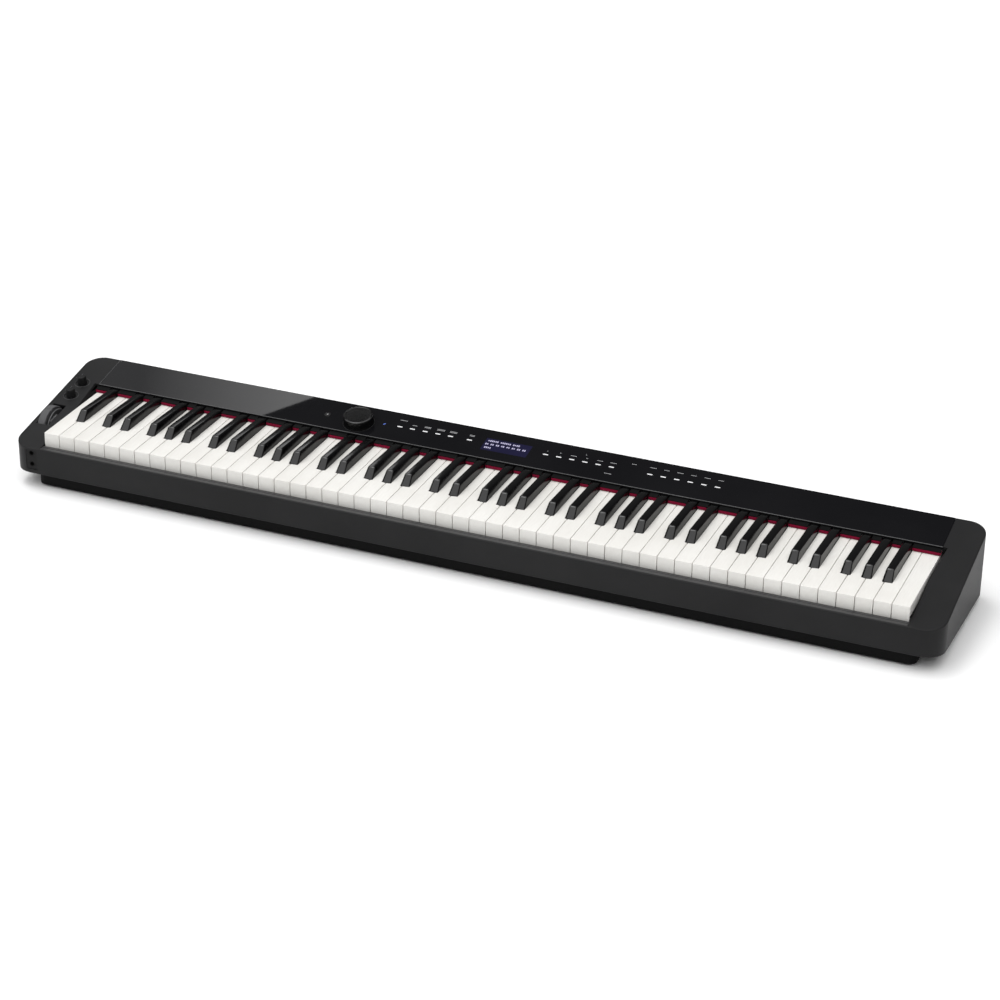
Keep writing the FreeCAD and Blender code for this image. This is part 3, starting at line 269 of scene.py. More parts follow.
def lit_window(name):
    """Dark display window whose lit area glows unevenly, row by row of its dots."""
    made, tree, shader, place = blank(name)
    rows = node(tree, "ShaderNodeTexChecker", [("Vector", place)], Scale=2200.0)
    cloud = node(tree, "ShaderNodeTexNoise", [("Vector", place)], Scale=25.0, Detail=1.0)
    glow = node(tree, "ShaderNodeMath", [(0, rows.outputs["Fac"]), (1, cloud.outputs["Fac"])],
                operation="MULTIPLY_ADD")
    tree.links.new(cloud.outputs["Fac"], glow.inputs[2])
    tree.links.new(ramp(tree, glow.outputs["Value"], (0.003, 0.0025, 0.013), (0.006, 0.005, 0.025), 0.3, 1.1),
                   shader.inputs["Emission Color"])
    tree.links.new(ramp(tree, cloud.outputs["Fac"], (0.004, 0.004, 0.012), (0.008, 0.008, 0.02)),
                   shader.inputs["Base Color"])
    tree.links.new(spread(tree, cloud.outputs["Fac"], 0.06, 0.1), shader.inputs["Roughness"])
    shader.inputs["Emission Strength"].default_value = 1.0
    return made


LOOKS = {
    "ivory": grained("ivory_look", (0.70, 0.685, 0.65), (0.78, 0.77, 0.74), (0.34, 0.5), 0.45),
    "ebony": grained("ebony_look", (0.0015, 0.0015, 0.0017), (0.004, 0.004, 0.0042), (0.12, 0.2), 0.42),
    "case_black": moulded("case_look", (0.011, 0.011, 0.0115), (0.016, 0.016, 0.0165), (0.4, 0.5),
                          specular=0.13),
    # The tray under the case is drawn darker than the case as painted shade, for the shadow under the overhang.
    "tray_black": moulded("tray_shade_look", (0.0015, 0.0015, 0.0016), (0.003, 0.003, 0.0031), (0.5, 0.65),
                          grain=1300.0, bump=0.5, specular=0.1),
    "panel_black": moulded("panel_look", (0.004, 0.004, 0.005), (0.006, 0.006, 0.007), (0.012, 0.02),
                           bump=0.004, specular=0.45),
    "red_felt": felted("red_felt_look", (0.13, 0.0005, 0.016), (0.25, 0.002, 0.032)),
    "grey_felt": felted("grey_felt_look", (0.25, 0.25, 0.26), (0.42, 0.42, 0.42)),
    "rubber": moulded("rubber_look", (0.018, 0.018, 0.018), (0.03, 0.03, 0.03), (0.75, 0.9),
                      grain=900.0, bump=0.4, specular=0.25),
    "knob_black": moulded("knob_look", (0.0015, 0.0015, 0.0017), (0.004, 0.004, 0.0042), (0.1, 0.15),
                          bump=0.08, specular=0.35),
    "wheel_grey": moulded("wheel_look", (0.045, 0.045, 0.047), (0.075, 0.075, 0.078), (0.5, 0.65),
                          grain=1100.0, bump=0.5),
    "display": lit_window("display_look"),
    "module": moulded("module_look", (0.06, 0.06, 0.065), (0.1, 0.1, 0.1), (0.5, 0.6)),
    "socket_black": moulded("socket_look", (0.009, 0.009, 0.0092), (0.014, 0.014, 0.0142), (0.45, 0.6),
                            specular=0.12),
    "steel": metal("steel_look", (0.42, 0.42, 0.44), (0.6, 0.6, 0.62), (0.25, 0.4)),
    "brass": metal("brass_look", (0.52, 0.36, 0.13), (0.7, 0.52, 0.22), (0.22, 0.38), (40.0, 1.0, 1.0)),
    "hammer_metal": metal("hammer_look", (0.2, 0.2, 0.21), (0.34, 0.34, 0.35), (0.5, 0.7)),
    "magnet": metal("magnet_look", (0.12, 0.12, 0.13), (0.22, 0.22, 0.22), (0.55, 0.75)),
    "chassis_grey": moulded("chassis_look", (0.16, 0.16, 0.165), (0.22, 0.22, 0.225), (0.5, 0.65),
                            grain=1200.0, bump=0.4),
    "board_green": circuit("board_look", (0.01, 0.08, 0.03), (0.015, 0.11, 0.045), (0.05, 0.22, 0.1)),
    "contact_grey": moulded("contact_look", (0.22, 0.22, 0.22), (0.3, 0.3, 0.3), (0.7, 0.85),
                            grain=900.0, bump=0.4, specular=0.25),
    "cone_black": moulded("cone_look", (0.018, 0.018, 0.018), (0.035, 0.033, 0.03), (0.7, 0.9),
                          grain=700.0, bump=0.8, specular=0.2),
}
# The skirt under the panel's lip is drawn darker than the panel as painted shade, for the shadow under the lip.
SKIRT_SHADE = moulded("skirt_shade_look", (0.0015, 0.0015, 0.0017), (0.003, 0.003, 0.0032), (0.5, 0.6), specular=0.08)
# Rail strips and the small knobs' rims: a grey lighter than the case, partly their own tone and partly a painted
# highlight for light caught on their rounded edges.
TRIM_HIGHLIGHT = moulded("trim_highlight_look", (0.028, 0.028, 0.029), (0.04, 0.04, 0.041), (0.34, 0.42))
# A grey lighter than the case: on the bar along the panel's front edge it is a painted highlight for light caught
# by the lip's rounding; on the small knobs it is their pointer lines.
POINTER_AND_LIP_HIGHLIGHT = moulded("pointer_and_lip_highlight_look", (0.04, 0.04, 0.042), (0.058, 0.058, 0.06), (0.35, 0.45))
# A light grey as a painted highlight: on the thin bar at the panel's left edge and on the ring beside the pitch
# wheel, where their edges catch light.
EDGE_HIGHLIGHT = moulded("edge_highlight_look", (0.1, 0.1, 0.103), (0.14, 0.14, 0.144), (0.35, 0.45))
MARK = printed("mark_look", (0.55, 0.55, 0.56), (0.75, 0.75, 0.76), 0.15)
CAPTION = printed("caption_look", (0.3, 0.3, 0.31), (0.46, 0.46, 0.47))
LIT = printed("lit_look", (0.2, 0.19, 0.28), (0.34, 0.32, 0.44), 0.8)
BLUE = printed("blue_look", (0.02, 0.05, 0.22), (0.05, 0.10, 0.38), 0.5)
CLOTH = moulded("cloth_look", (0.01, 0.01, 0.01), (0.02, 0.02, 0.02), (0.85, 0.95), grain=420.0, bump=1.0)

# ---------------------------------------------------------------- mesh helpers

SMOOTH_ANGLE = math.radians(32)
RIGHT = Vector((1, 0, 0))


def linked(name, bm):
    """Turn a bmesh into an object of the scene."""
    mesh = bpy.data.meshes.new(name)
    bm.to_mesh(mesh)
    bm.free()
    made = bpy.data.objects.new(name, mesh)
    bpy.context.scene.collection.objects.link(made)
    return made


def piece(name, bm, body, look, replaces=()):
    """Turn a bmesh into a piece that rides on a body."""
    bmesh.ops.recalc_face_normals(bm, faces=bm.faces)
    made = linked(name, bm)
    made.data.materials.append(look)
    made.data.shade_smooth()
    made.data.set_sharp_from_angle(angle=SMOOTH_ANGLE)
    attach(made, body)
    if replaces:
        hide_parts(*replaces)
    return made


def loft(bm, rings, endless=False):
    """Skin rings of points with quads, and cap the ends or join the last ring to the first."""
    rows = [[bm.verts.new(p) for p in ring] for ring in rings]
    count = len(rows[0])
    for near, far in zip(rows, rows[1:] + rows[:1] if endless else rows[1:]):
        for i in range(count):
            bm.faces.new((near[i], near[(i + 1) % count], far[(i + 1) % count], far[i]))
    if not endless:
        bm.faces.new(list(reversed(rows[0])))
        bm.faces.new(rows[-1])


def turned(bm, profile, place, steps=64, wave=None, endless=False):
    """Turn a profile of (radius, height) pairs about a place's Z; wave changes the radius round a ring."""
    rings = []
    for radius, height in profile:
        ring = []
        for i in range(steps):
            angle = math.tau * i / steps
            reach = radius + (wave(angle, radius, height) if wave else 0)
            ring.append(place @ Vector((reach * math.cos(angle), reach * math.sin(angle), height)))
        rings.append(ring)
    loft(bm, rings, endless)


def rod(bm, ends, radius, side, steps=12):
    """A thin round bar between two points; side is the way across it on the sloping top."""
    rings = []
    for centre in ends:
        rings.append([centre + radius * (math.cos(a) * side + math.sin(a) * PANEL_UP)
                      for a in (math.tau * i / steps for i in range(steps))])
    loft(bm, rings)


def block(bm, low, high, place=Matrix.Identity(4), round_by=0.0):
    """A block between two corners, its edges rounded."""
    size = Vector(high) - Vector(low)
    middle = (Vector(high) + Vector(low)) / 2
    shape = place @ Matrix.Translation(middle) @ Matrix.Diagonal((*size, 1))
    verts = bmesh.ops.create_cube(bm, size=1.0, matrix=shape)["verts"]
    if round_by:
        edges = dict.fromkeys(edge for vert in verts for edge in vert.link_edges)
        bmesh.ops.bevel(bm, geom=list(edges), offset=round_by, segments=2, affect="EDGES", profile=0.5)


def tile(bm, u, v, width, depth, low, high, corner, place=TOP, turn=0.0, steps=4):
    """A thin plate with rounded corners on the sloping top."""
    outline = []
    for quarter, (sx, sy) in enumerate(((1, 1), (-1, 1), (-1, -1), (1, -1))):
        for i in range(steps + 1):
            angle = math.pi / 2 * (quarter + i / steps)
            outline.append(((width / 2 - corner) * sx + corner * math.cos(angle),
                            (depth / 2 - corner) * sy + corner * math.sin(angle)))
    turned_by = Matrix.Rotation(turn, 4, "Z")
    rings = []
    for height in (low, high):
        rings.append([place @ (Vector((u, v, height)) + turned_by @ Vector((x, y, 0))) for x, y in outline])
    loft(bm, rings)


# ---------------------------------------------------------------- keys

# White notes: the letter's place from C, and the sharps at its left and right.
NOTES = [("c", 0, None, "c"), ("d", 1, "c", "d"), ("e", 2, "d", None), ("f", 3, None, "f"),
         ("g", 4, "f", "g"), ("a", 5, "g", "a"), ("b", 6, "a", None)]
# Sharps: the joint between white keys that each stands over, and its shift from it.
SHARPS = {"c": (1, -CD_SHIFT), "d": (2, CD_SHIFT), "f": (4, -FA_SHIFT), "g": (5, 0.0), "a": (6, FA_SHIFT)}
LETTERS = 7
FIRST_C = 2                  # white keys left of the lowest C
OCTAVES = 7


def joint_x(joint, octave):
    return FIRST_KEY[0].x - KEY_GAP / 2 + PITCH * (FIRST_C + joint + LETTERS * octave)


def sharp_x(name, octave):
    joint, shift = SHARPS[name]
    return joint_x(joint, octave) + shift


def lever(bm, x0, x1, start):
    """Hidden rear part of a key, with its slot over the pivot blade."""
    outline = [(start, KEY_LOW), (PIVOT.y - SLOT_HALF, KEY_LOW), (PIVOT.y - SLOT_HALF, PIVOT.z),
               (PIVOT.y + SLOT_HALF, PIVOT.z), (PIVOT.y + SLOT_HALF, KEY_LOW), (KEY_END, KEY_LOW),
               (KEY_END, KEY_TOP), (start, KEY_TOP)]
    loft(bm, [[Vector((x, y, z)) for y, z in outline] for x in (x0, x1)])


def tab(bm, x):
    """The tab under a key that presses on its hammer."""
    y = KEY_FRONT + TAB_PLACE
    block(bm, (x - TAB_WIDTH / 2, y - TAB_LENGTH / 2, TAB_LOW),
          (x + TAB_WIDTH / 2, y + TAB_LENGTH / 2, KEY_LOW))


def white_key(bm, letter, octave, left_sharp, right_sharp):
    """A head with a front skirt, a neck beside the sharps, and a lever."""
    head = (joint_x(letter, octave) + KEY_GAP / 2, joint_x(letter + 1, octave) - KEY_GAP / 2)
    left = sharp_x(left_sharp, octave) + SHARP_ROOM / 2 if left_sharp else head[0]
    right = sharp_x(right_sharp, octave) - SHARP_ROOM / 2 if right_sharp else head[1]
    neck = KEY_FRONT + HEAD_LENGTH
    seam = KEY_FRONT + KEY_WALL
    tail_end = PIVOT.y - SLOT_HALF
    outline = [(head[0], KEY_FRONT), (head[1], KEY_FRONT), (head[1], seam)]
    if right_sharp:
        outline += [(head[1], neck), (right, neck)]
    outline += [(right, tail_end), (left, tail_end)]
    if left_sharp:
        outline += [(left, neck), (head[0], neck)]
    outline.append((head[0], seam))
    top = [bm.verts.new((x, y, KEY_TOP)) for x, y in outline]
    low = [bm.verts.new((x, y, KEY_LOW)) for x, y in outline]
    foot = [bm.verts.new((x, y, KEY_TOP - KEY_SKIRT)) for x, y in
            ((head[0], KEY_FRONT), (head[1], KEY_FRONT), (head[1], seam), (head[0], seam))]
    count = len(outline)
    bm.faces.new(top)
    rim = [bm.edges.get((top[i], top[(i + 1) % count])) for i in range(count)]
    for i in range(count):
        after = (i + 1) % count
        bm.faces.new((low[i], low[after], top[after], top[i]))
    bm.faces.new(list(reversed(low[2:])))
    corners = (low[0], low[1], low[2], low[-1])
    for i in (0, 1, 3):
        after = (i + 1) % 4
        bm.faces.new((foot[i], foot[after], corners[after], corners[i]))
    bm.faces.new((foot[2], foot[3], corners[3], corners[2]))
    bm.faces.new(list(reversed(foot)))
    upright = [bm.edges.get((low[i], top[i])) for i in (0, 1)]
    upright += [bm.edges.get((foot[i], low[i])) for i in (0, 1)]
    bmesh.ops.bevel(bm, geom=rim + upright, offset=KEY_ROUNDING, segments=3, affect="EDGES", profile=0.5)
    lever(bm, left, right, tail_end)
    tab(bm, (left + right) / 2)


def sharp_key(bm, name, octave):
    """A leaning crown on an upright base: its crest falls slowly to a knee and then towards the panel."""
    x = sharp_x(name, octave)
    foot = KEY_FRONT + SHARP_FOOT
    end = LIP_Y + SHARP_END
    crest = [(foot, 0.0), (foot + SHARP_RUN, SHARP_RISE - SHARP_DIP),
             (KEY_FRONT + SHARP_KNEE, SHARP_KNEE_RISE), (end, SHARP_END_RISE)]
    lean = (SHARP_WIDTH - SHARP_CREST_WIDTH) / 2 / SHARP_RISE

    def row(side):
        points = [bm.verts.new((x + side * (SHARP_WIDTH / 2 - lean * rise), y, KEY_TOP + rise))
                  for y, rise in crest]
        points.append(bm.verts.new((x + side * SHARP_WIDTH / 2, end, KEY_TOP)))
        low = [bm.verts.new((x + side * SHARP_WIDTH / 2, y, KEY_LOW)) for y in (foot, end)]
        return points, low

    (left, left_low), (right, right_low) = row(-1), row(1)
    bm.faces.new(left)
    bm.faces.new(right)
    for i in range(4):
        bm.faces.new((left[i], left[i + 1], right[i + 1], right[i]))
    bm.faces.new((left_low[0], right_low[0], right[0], left[0]))
    bm.faces.new((left_low[1], right_low[1], right[4], left[4]))
    bm.faces.new((left_low[0], left_low[1], left[4], left[0]))
    bm.faces.new((right_low[0], right_low[1], right[4], right[0]))
    bm.faces.new((left_low[0], left_low[1], right_low[1], right_low[0]))
    front = [bm.edges.get((left[1], right[1]))]
    sides = [bm.edges.get((row_[i], row_[i + 1])) for row_ in (left, right) for i in (0, 1, 2)]
    bmesh.ops.bevel(bm, geom=front + sides, offset=SHARP_ROUNDING, segments=5, affect="EDGES", profile=0.5)
    lever(bm, x - LEVER_WIDTH / 2, x + LEVER_WIDTH / 2, end)
    tab(bm, x)


def make_keys():
    """The lowest key is an A and the highest a C, so A, its sharp, B and C have one key more."""
    for name, letter, left_sharp, right_sharp in NOTES:
        bm = bmesh.new()
        for octave in range(-1 if name == "b" else 0, OCTAVES):
            white_key(bm, letter, octave, left_sharp, right_sharp)
        if name == "a":
            white_key(bm, letter, -1, None, right_sharp)
        if name == "c":
            white_key(bm, letter, OCTAVES, None, None)
        piece(f"white_{name}", bm, f"keys_{name}", LOOKS["ivory"], [f"keys_{name}"])
    for name in SHARPS:
        bm = bmesh.new()
        for octave in range(-1 if name == "a" else 0, OCTAVES):
            sharp_key(bm, name, octave)
        piece(f"black_{name}_sharp", bm, f"keys_{name}_sharp", LOOKS["ebony"],
              [f"keys_{name}_sharp"])


# ---------------------------------------------------------------- panel

BAR = (0.0074, 0.0021)
BAR_CORNER = 0.0006
MARK_PITCH = 0.019
BAR_PLACE = 0.0339           # touch marks behind the lip
MARK_BASE = 0.00001          # marks lie between these heights above the surface
MARK_HEIGHT = 0.00008
# Touch marks: the first of each group, and how many stand in a row.
GROUPS = [(-0.1593, 5), (-0.0551, 1), (0.0569, 6), (0.2066, 6)]
CAPTION_ROW = 0.049
# Captions: place to the right, place behind the lip, width, rows of dashes.
CAPTIONS_LEFT = [(-0.1594, 0.049, 0.011, 1), (-0.1402, 0.0422, 0.007, 1), (-0.1211, 0.0434, 0.0095, 2),
                 (-0.1011, 0.0433, 0.0115, 2), (-0.0827, 0.0436, 0.0105, 2), (-0.0549, 0.044, 0.0075, 2)]
CAPTIONS_MIDDLE = [(0.0569, 0.0422, 0.0015, 1), (0.0755, 0.043, 0.0025, 1), (0.0947, 0.0421, 0.009, 1),
                   (0.114, 0.0422, 0.003, 1), (0.1102, 0.0495, 0.002, 1), (0.1328, 0.0424, 0.008, 1),
                   (0.1517, 0.0429, 0.009, 1), (0.1522, 0.0184, 0.0105, 1), (0.1791, CAPTION_ROW, 0.007, 1)]
CAPTION_WIDTHS = (0.009, 0.0075)         # in turn, over the last group of marks
VOLUME_CAPTION = (VOLUME.x - 0.012, 0.0605, 0.005, 1)
DASH = 0.0013
DASH_PITCH = 1.45            # in dashes
DASH_FILL = 0.78
DASH_DEPTH = 0.00105
DASH_CORNER = 0.0002
DASH_ROW_PITCH = 0.0021
ICON_PLACE = (-0.1825, 0.0333)
ICON_TURN = -0.5
# The two bars of the link light: width, depth, corner.
ICON_BARS = ((0.0016, 0.0042, 0.0005), (0.0030, 0.0012, 0.0004))
# Rows of the display: place above its middle, start, end, and after how many blocks one is left out.
DISPLAY_ROWS = ((0.0082, -0.030, 0.017, 7), (0.0005, -0.0315, 0.031, 3), (-0.0075, -0.030, -0.015, 5))
BLOCK_PITCH = 0.0026
BLOCK_WIDTH = 0.0017
BLOCK_TALL = 0.0026
BLOCK_SWING = 0.0011
BLOCK_BEAT = 2.3
BLOCK_CORNER = 0.0003


def caption(bm, u, v, width, rows):
    """Plain dashes in place of lettering."""
    count = max(1, round(width / (DASH_PITCH * DASH)))
    step = width / count
    for row in range(rows):
        for i in range(count):
            tile(bm, u + (i + 0.5) * step - width / 2, v + (row - (rows - 1) / 2) * DASH_ROW_PITCH,
                 DASH_FILL * step, DASH_DEPTH, MARK_BASE, MARK_HEIGHT, DASH_CORNER, steps=1)


def make_panel_marks():
    bars = bmesh.new()
    for first, count in GROUPS:
        for i in range(count):
            tile(bars, first + i * MARK_PITCH, BAR_PLACE, *BAR, MARK_BASE, MARK_HEIGHT, BAR_CORNER)
    piece("touch_marks", bars, "case", MARK)
    texts = bmesh.new()
    for spot in CAPTIONS_LEFT + CAPTIONS_MIDDLE:
        caption(texts, *spot)
    for i in range(GROUPS[-1][1]):
        caption(texts, GROUPS[-1][0] + i * MARK_PITCH, CAPTION_ROW, CAPTION_WIDTHS[i % 2], 1)
    caption(texts, *VOLUME_CAPTION)
    piece("caption_marks", texts, "case", CAPTION)
    icon = bmesh.new()
    for width, depth, corner in ICON_BARS:
        tile(icon, *ICON_PLACE, width, depth, MARK_BASE, MARK_HEIGHT, corner, turn=ICON_TURN)
    piece("link_light", icon, "case", BLUE)


def make_display():
    """Rows of lit blocks in place of a screen's text."""
    low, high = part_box("display_window")
    centre = TOP.inverted() @ ((low + high) / 2)
    bm = bmesh.new()
    for number, (lift, start, end, skip) in enumerate(DISPLAY_ROWS):
        for i in range(int((end - start) / BLOCK_PITCH)):
            if i % skip == skip - 1:
                continue
            tall = BLOCK_TALL + BLOCK_SWING * abs(math.sin(BLOCK_BEAT * i + number))
            tile(bm, start + (i + 0.5) * BLOCK_PITCH, centre.y + lift, BLOCK_WIDTH, tall,
                 MARK_BASE, MARK_HEIGHT, BLOCK_CORNER, steps=1)
    piece("display_blocks", bm, "case", LIT)


LIP_RADIUS = 0.0007
LIP_MIDDLE = (0.00045, -0.0005)          # of the lip's bar: behind the lip's line, above the surface
SEAM_RADIUS = 0.0003
SEAM_MIDDLE = (0.0002, -0.0002)          # of the seam's bar: right of the panel's end, above the surface
SEAM_INSET = 0.0012
RAIL_TOP = 0.0613
RAIL_STRIPS = ((0.0022, 0.0072), (0.0078, 0.0134))      # start and end behind the case's front
STRIP_SINK = 0.0002
STRIP_LIFT = 0.0003
STRIP_ROUNDING = 0.00018


def make_trims():
    """Bars along the panel's front and left edges, drawn light as painted highlights, and the two flat strips
    along the front rail, drawn lighter than the case as partly painted highlight.
    """
    low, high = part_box("control_panel")
    bar = bmesh.new()
    # A bar along the front edge, drawn light as a painted highlight on the lip.
    rod(bar, [on_top(x, *LIP_MIDDLE) for x in (low.x, high.x)], LIP_RADIUS, PANEL_BACK)
    piece("panel_lip_highlight", bar, "case", POINTER_AND_LIP_HIGHLIGHT)
    # A thin bar at the left edge, drawn light as a painted highlight on the panel's edge.
    seam = bmesh.new()
    ends = (SEAM_INSET, (high.y - LIP_Y) / PANEL_BACK.y - SEAM_INSET)
    rod(seam, [on_top(low.x + SEAM_MIDDLE[0], v, SEAM_MIDDLE[1]) for v in ends], SEAM_RADIUS, RIGHT)
    piece("panel_seam_highlight", seam, "case", EDGE_HIGHLIGHT)
    case_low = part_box("upper_case")[0]
    # The strips are drawn lighter than the case, partly as a painted highlight on their rounded edges.
    strips = bmesh.new()
    for near, far in RAIL_STRIPS:
        block(strips, (low.x, case_low.y + near, RAIL_TOP - STRIP_SINK),
              (high.x, case_low.y + far, RAIL_TOP + STRIP_LIFT), round_by=STRIP_ROUNDING)
    piece("rail_strips", strips, "case", TRIM_HIGHLIGHT)


# ---------------------------------------------------------------- knobs, wheel, button

# Profiles are pairs of a radius and a height above the sloping top, or along the wheel's axle.
VOLUME_RADIUS = 0.0213
VOLUME_HEIGHT = 0.013
VOLUME_STEPS = 720
VOLUME_PROFILE = [(0.003, -0.008), (0.003, 0.0004), (VOLUME_RADIUS - 0.0012, 0.0005), (VOLUME_RADIUS, 0.0010),
                  (VOLUME_RADIUS, 0.0014), (VOLUME_RADIUS - 0.0001, 0.003),
                  (VOLUME_RADIUS - 0.0004, VOLUME_HEIGHT - 0.003),
                  (VOLUME_RADIUS - 0.0005, VOLUME_HEIGHT - 0.0014),
                  (VOLUME_RADIUS - 0.0009, VOLUME_HEIGHT - 0.0005),
                  (VOLUME_RADIUS - 0.0016, VOLUME_HEIGHT - 0.0001), (VOLUME_RADIUS - 0.0026, VOLUME_HEIGHT),
                  (VOLUME_RADIUS - 0.0029, VOLUME_HEIGHT - 0.0003),
                  (VOLUME_RADIUS - 0.0033, VOLUME_HEIGHT - 0.0004),
                  (VOLUME_RADIUS - 0.0037, VOLUME_HEIGHT - 0.0004),
                  (0.010, VOLUME_HEIGHT - 0.0004), (0.002, VOLUME_HEIGHT - 0.0004)]
FLUTES = 90
FLUTE_DEPTH = 0.00022
FLUTE_RADIUS = 0.0203        # flutes are cut outside this radius, and between the two heights
FLUTE_HEIGHTS = (0.0012, VOLUME_HEIGHT - 0.0022)
SEAT_PROFILE = [(0.0224, 0.00002), (0.0224, 0.0003), (0.0219, 0.00045), (0.0214, 0.0003), (0.0214, 0.00002)]

KNOB_PROFILE = [(0.003, -0.008), (0.003, -0.0008), (0.0066, -0.0008), (0.007, -0.0004), (0.0069, 0.001),
                (0.0065, 0.008), (0.00635, 0.0108), (0.0061, 0.0115), (0.0055, 0.0119), (0.0047, 0.012),
                (0.0043, 0.0117), (0.0015, 0.0116)]
RIBS = 18
RIB_DEPTH = 0.00035
RIB_RADIUS = 0.0061          # ribs are cut outside this radius, and below the height
RIB_HEIGHT = 0.0112
# The pointer on a small knob: its place, width, depth, low and high faces, corner.
KNOB_LINE = (0.0, 0.0038, 0.0008, 0.0042, 0.0116, 0.01198, 0.0003)
RIM_PROFILE = [(0.0112, -0.0002), (0.0112, 0.0001), (0.0108, 0.0002), (0.0104, 0.0), (0.0104, -0.0012),
               (0.0108, -0.0012)]

WHEEL_RADIUS = 0.030
WHEEL_HALF = 0.0055
WHEEL_STEPS = 720
TREAD_EDGE = 0.0012          # the part of the rim that takes the cross ribs
WHEEL_SIDE = [(0.00205, 0.0), (0.026, 0.0), (0.0266, 0.0006), (0.0276, 0.0006), (0.0282, 0.0),
              (WHEEL_RADIUS - 0.0007, 0.0), (WHEEL_RADIUS - 0.0001, 0.0008), (WHEEL_RADIUS, 0.0016)]
WHEEL_RIBS = 120
WHEEL_RIB_DEPTH = 0.00028
GROOVE_REACH = 0.085         # half of the finger groove, in radians
GROOVE_DEPTH = 0.0014
GUARD_OFFSET = Matrix.Translation((0, 0, 0.0098))
GUARD_PROFILE = [(0.0262, -0.0006), (0.0270, -0.0006), (0.0274, -0.0002), (0.0274, 0.0002),
                 (0.0270, 0.0006), (0.0262, 0.0006)]


def axle_frame(joint):
    """A frame whose Z is a joint's axis, at the sloping top's surface."""
    spot = Vector(JOINTS[joint]["pos_m"]) - PANEL_UP * PANEL_JOINT_LIFT
    return Matrix.Translation(spot) @ TOP.to_3x3().to_4x4()


def fluting(count, angle):
    """A wave from 0 to 1 that repeats a number of times round a circle."""
    return 0.5 + 0.5 * math.cos(count * angle)


def make_volume():
    """A large dial with a finely fluted side, and the ring it sits in."""
    def wave(angle, ring, at):
        if ring > FLUTE_RADIUS and FLUTE_HEIGHTS[0] < at < FLUTE_HEIGHTS[1]:
            return -FLUTE_DEPTH * fluting(FLUTES, angle)
        return 0.0

    bm = bmesh.new()
    turned(bm, VOLUME_PROFILE, axle_frame("volume_turn"), VOLUME_STEPS, wave)
    piece("volume_dial", bm, "volume_knob", LOOKS["knob_black"], ["volume_knob"])
    ring = bmesh.new()
    turned(ring, SEAT_PROFILE, axle_frame("volume_turn"), steps=120, endless=True)
    piece("volume_seat", ring, "case", LOOKS["case_black"])


def make_small_knobs():
    """Two ribbed knobs, each with a pointer and a raised rim round its opening."""
    def wave(angle, ring, at):
        return -RIB_DEPTH * fluting(RIBS, angle) if ring > RIB_RADIUS and at < RIB_HEIGHT else 0.0

    for name in ("knob_rear", "knob_front"):
        axle = axle_frame(f"{name}_turn")
        bm = bmesh.new()
        turned(bm, KNOB_PROFILE, axle, steps=144, wave=wave)
        piece(f"{name}_dial", bm, name, LOOKS["case_black"], [name])
        line = bmesh.new()
        tile(line, *KNOB_LINE, place=axle)
        piece(f"{name}_line", line, name, POINTER_AND_LIP_HIGHLIGHT)
        rim = bmesh.new()
        # The rim is drawn lighter than the case, partly as a painted highlight on its rounding.
        turned(rim, RIM_PROFILE, axle, steps=96, endless=True)
        piece(f"{name}_rim", rim, "case", TRIM_HIGHLIGHT)


def make_wheel():
    """The pitch wheel, and the guard that stands beside it, its ring drawn light as a painted highlight."""
    axis = Matrix.Translation(Vector(JOINTS["pitch_bend"]["pos_m"])) @ TOP.to_3x3().to_4x4() \
        @ Matrix.Rotation(math.pi / 2, 4, "Y")

    def wave(angle, ring, at):
        """Fine cross ribs on the rim and one finger groove at the top."""
        if ring < WHEEL_RADIUS - TREAD_EDGE:
            return 0.0
        off = abs(angle - math.pi)
        dent = GROOVE_DEPTH * max(0.0, 1 - (off / GROOVE_REACH) ** 2)
        return -WHEEL_RIB_DEPTH * fluting(WHEEL_RIBS, angle) - dent

    profile = [(radius, height - WHEEL_HALF) for radius, height in WHEEL_SIDE]
    profile += [(radius, WHEEL_HALF - height) for radius, height in reversed(WHEEL_SIDE)]
    bm = bmesh.new()
    turned(bm, profile, axis, WHEEL_STEPS, wave, endless=True)
    piece("bend_wheel", bm, "pitch_wheel", LOOKS["wheel_grey"], ["pitch_wheel"])
    guard = bmesh.new()
    turned(guard, GUARD_PROFILE, axis @ GUARD_OFFSET, steps=180, endless=True)
    # The guard's ring is drawn light as a painted highlight.
    piece("wheel_guard", guard, "case", EDGE_HIGHLIGHT)


# The dot on the power button: width, depth, low and high faces above the surface, corner.
POWER_MARK = (0.0022, 0.0022, 0.00079, 0.00088, 0.0010)


def make_power_light():
    low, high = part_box("power_button")
    local = TOP.inverted() @ ((low + high) / 2)
    bm = bmesh.new()
    tile(bm, local.x, local.y, *POWER_MARK)
    piece("power_mark", bm, "power_button", CAPTION)


# ---------------------------------------------------------------- felt

WELD_DISTANCE = 0.000002
# Strips of felt: the CAD node, its slot, and the length of the strip's cells.
FELTS = (("key_felt", "red_felt", 0.0022), ("key_stop_felt", "grey_felt", 0.006),
         ("hammer_rest_felt", "grey_felt", 0.006))
FELT_ROUNDING = 0.0009
FELT_ROUGH = 0.00012
FELT_GRAIN = 700
FELT_SHARE = (0.985, 0.97)   # of the CAD strip's depth and height
FELT_PINCH = 0.12            # how much the strip's cut ends are drawn in


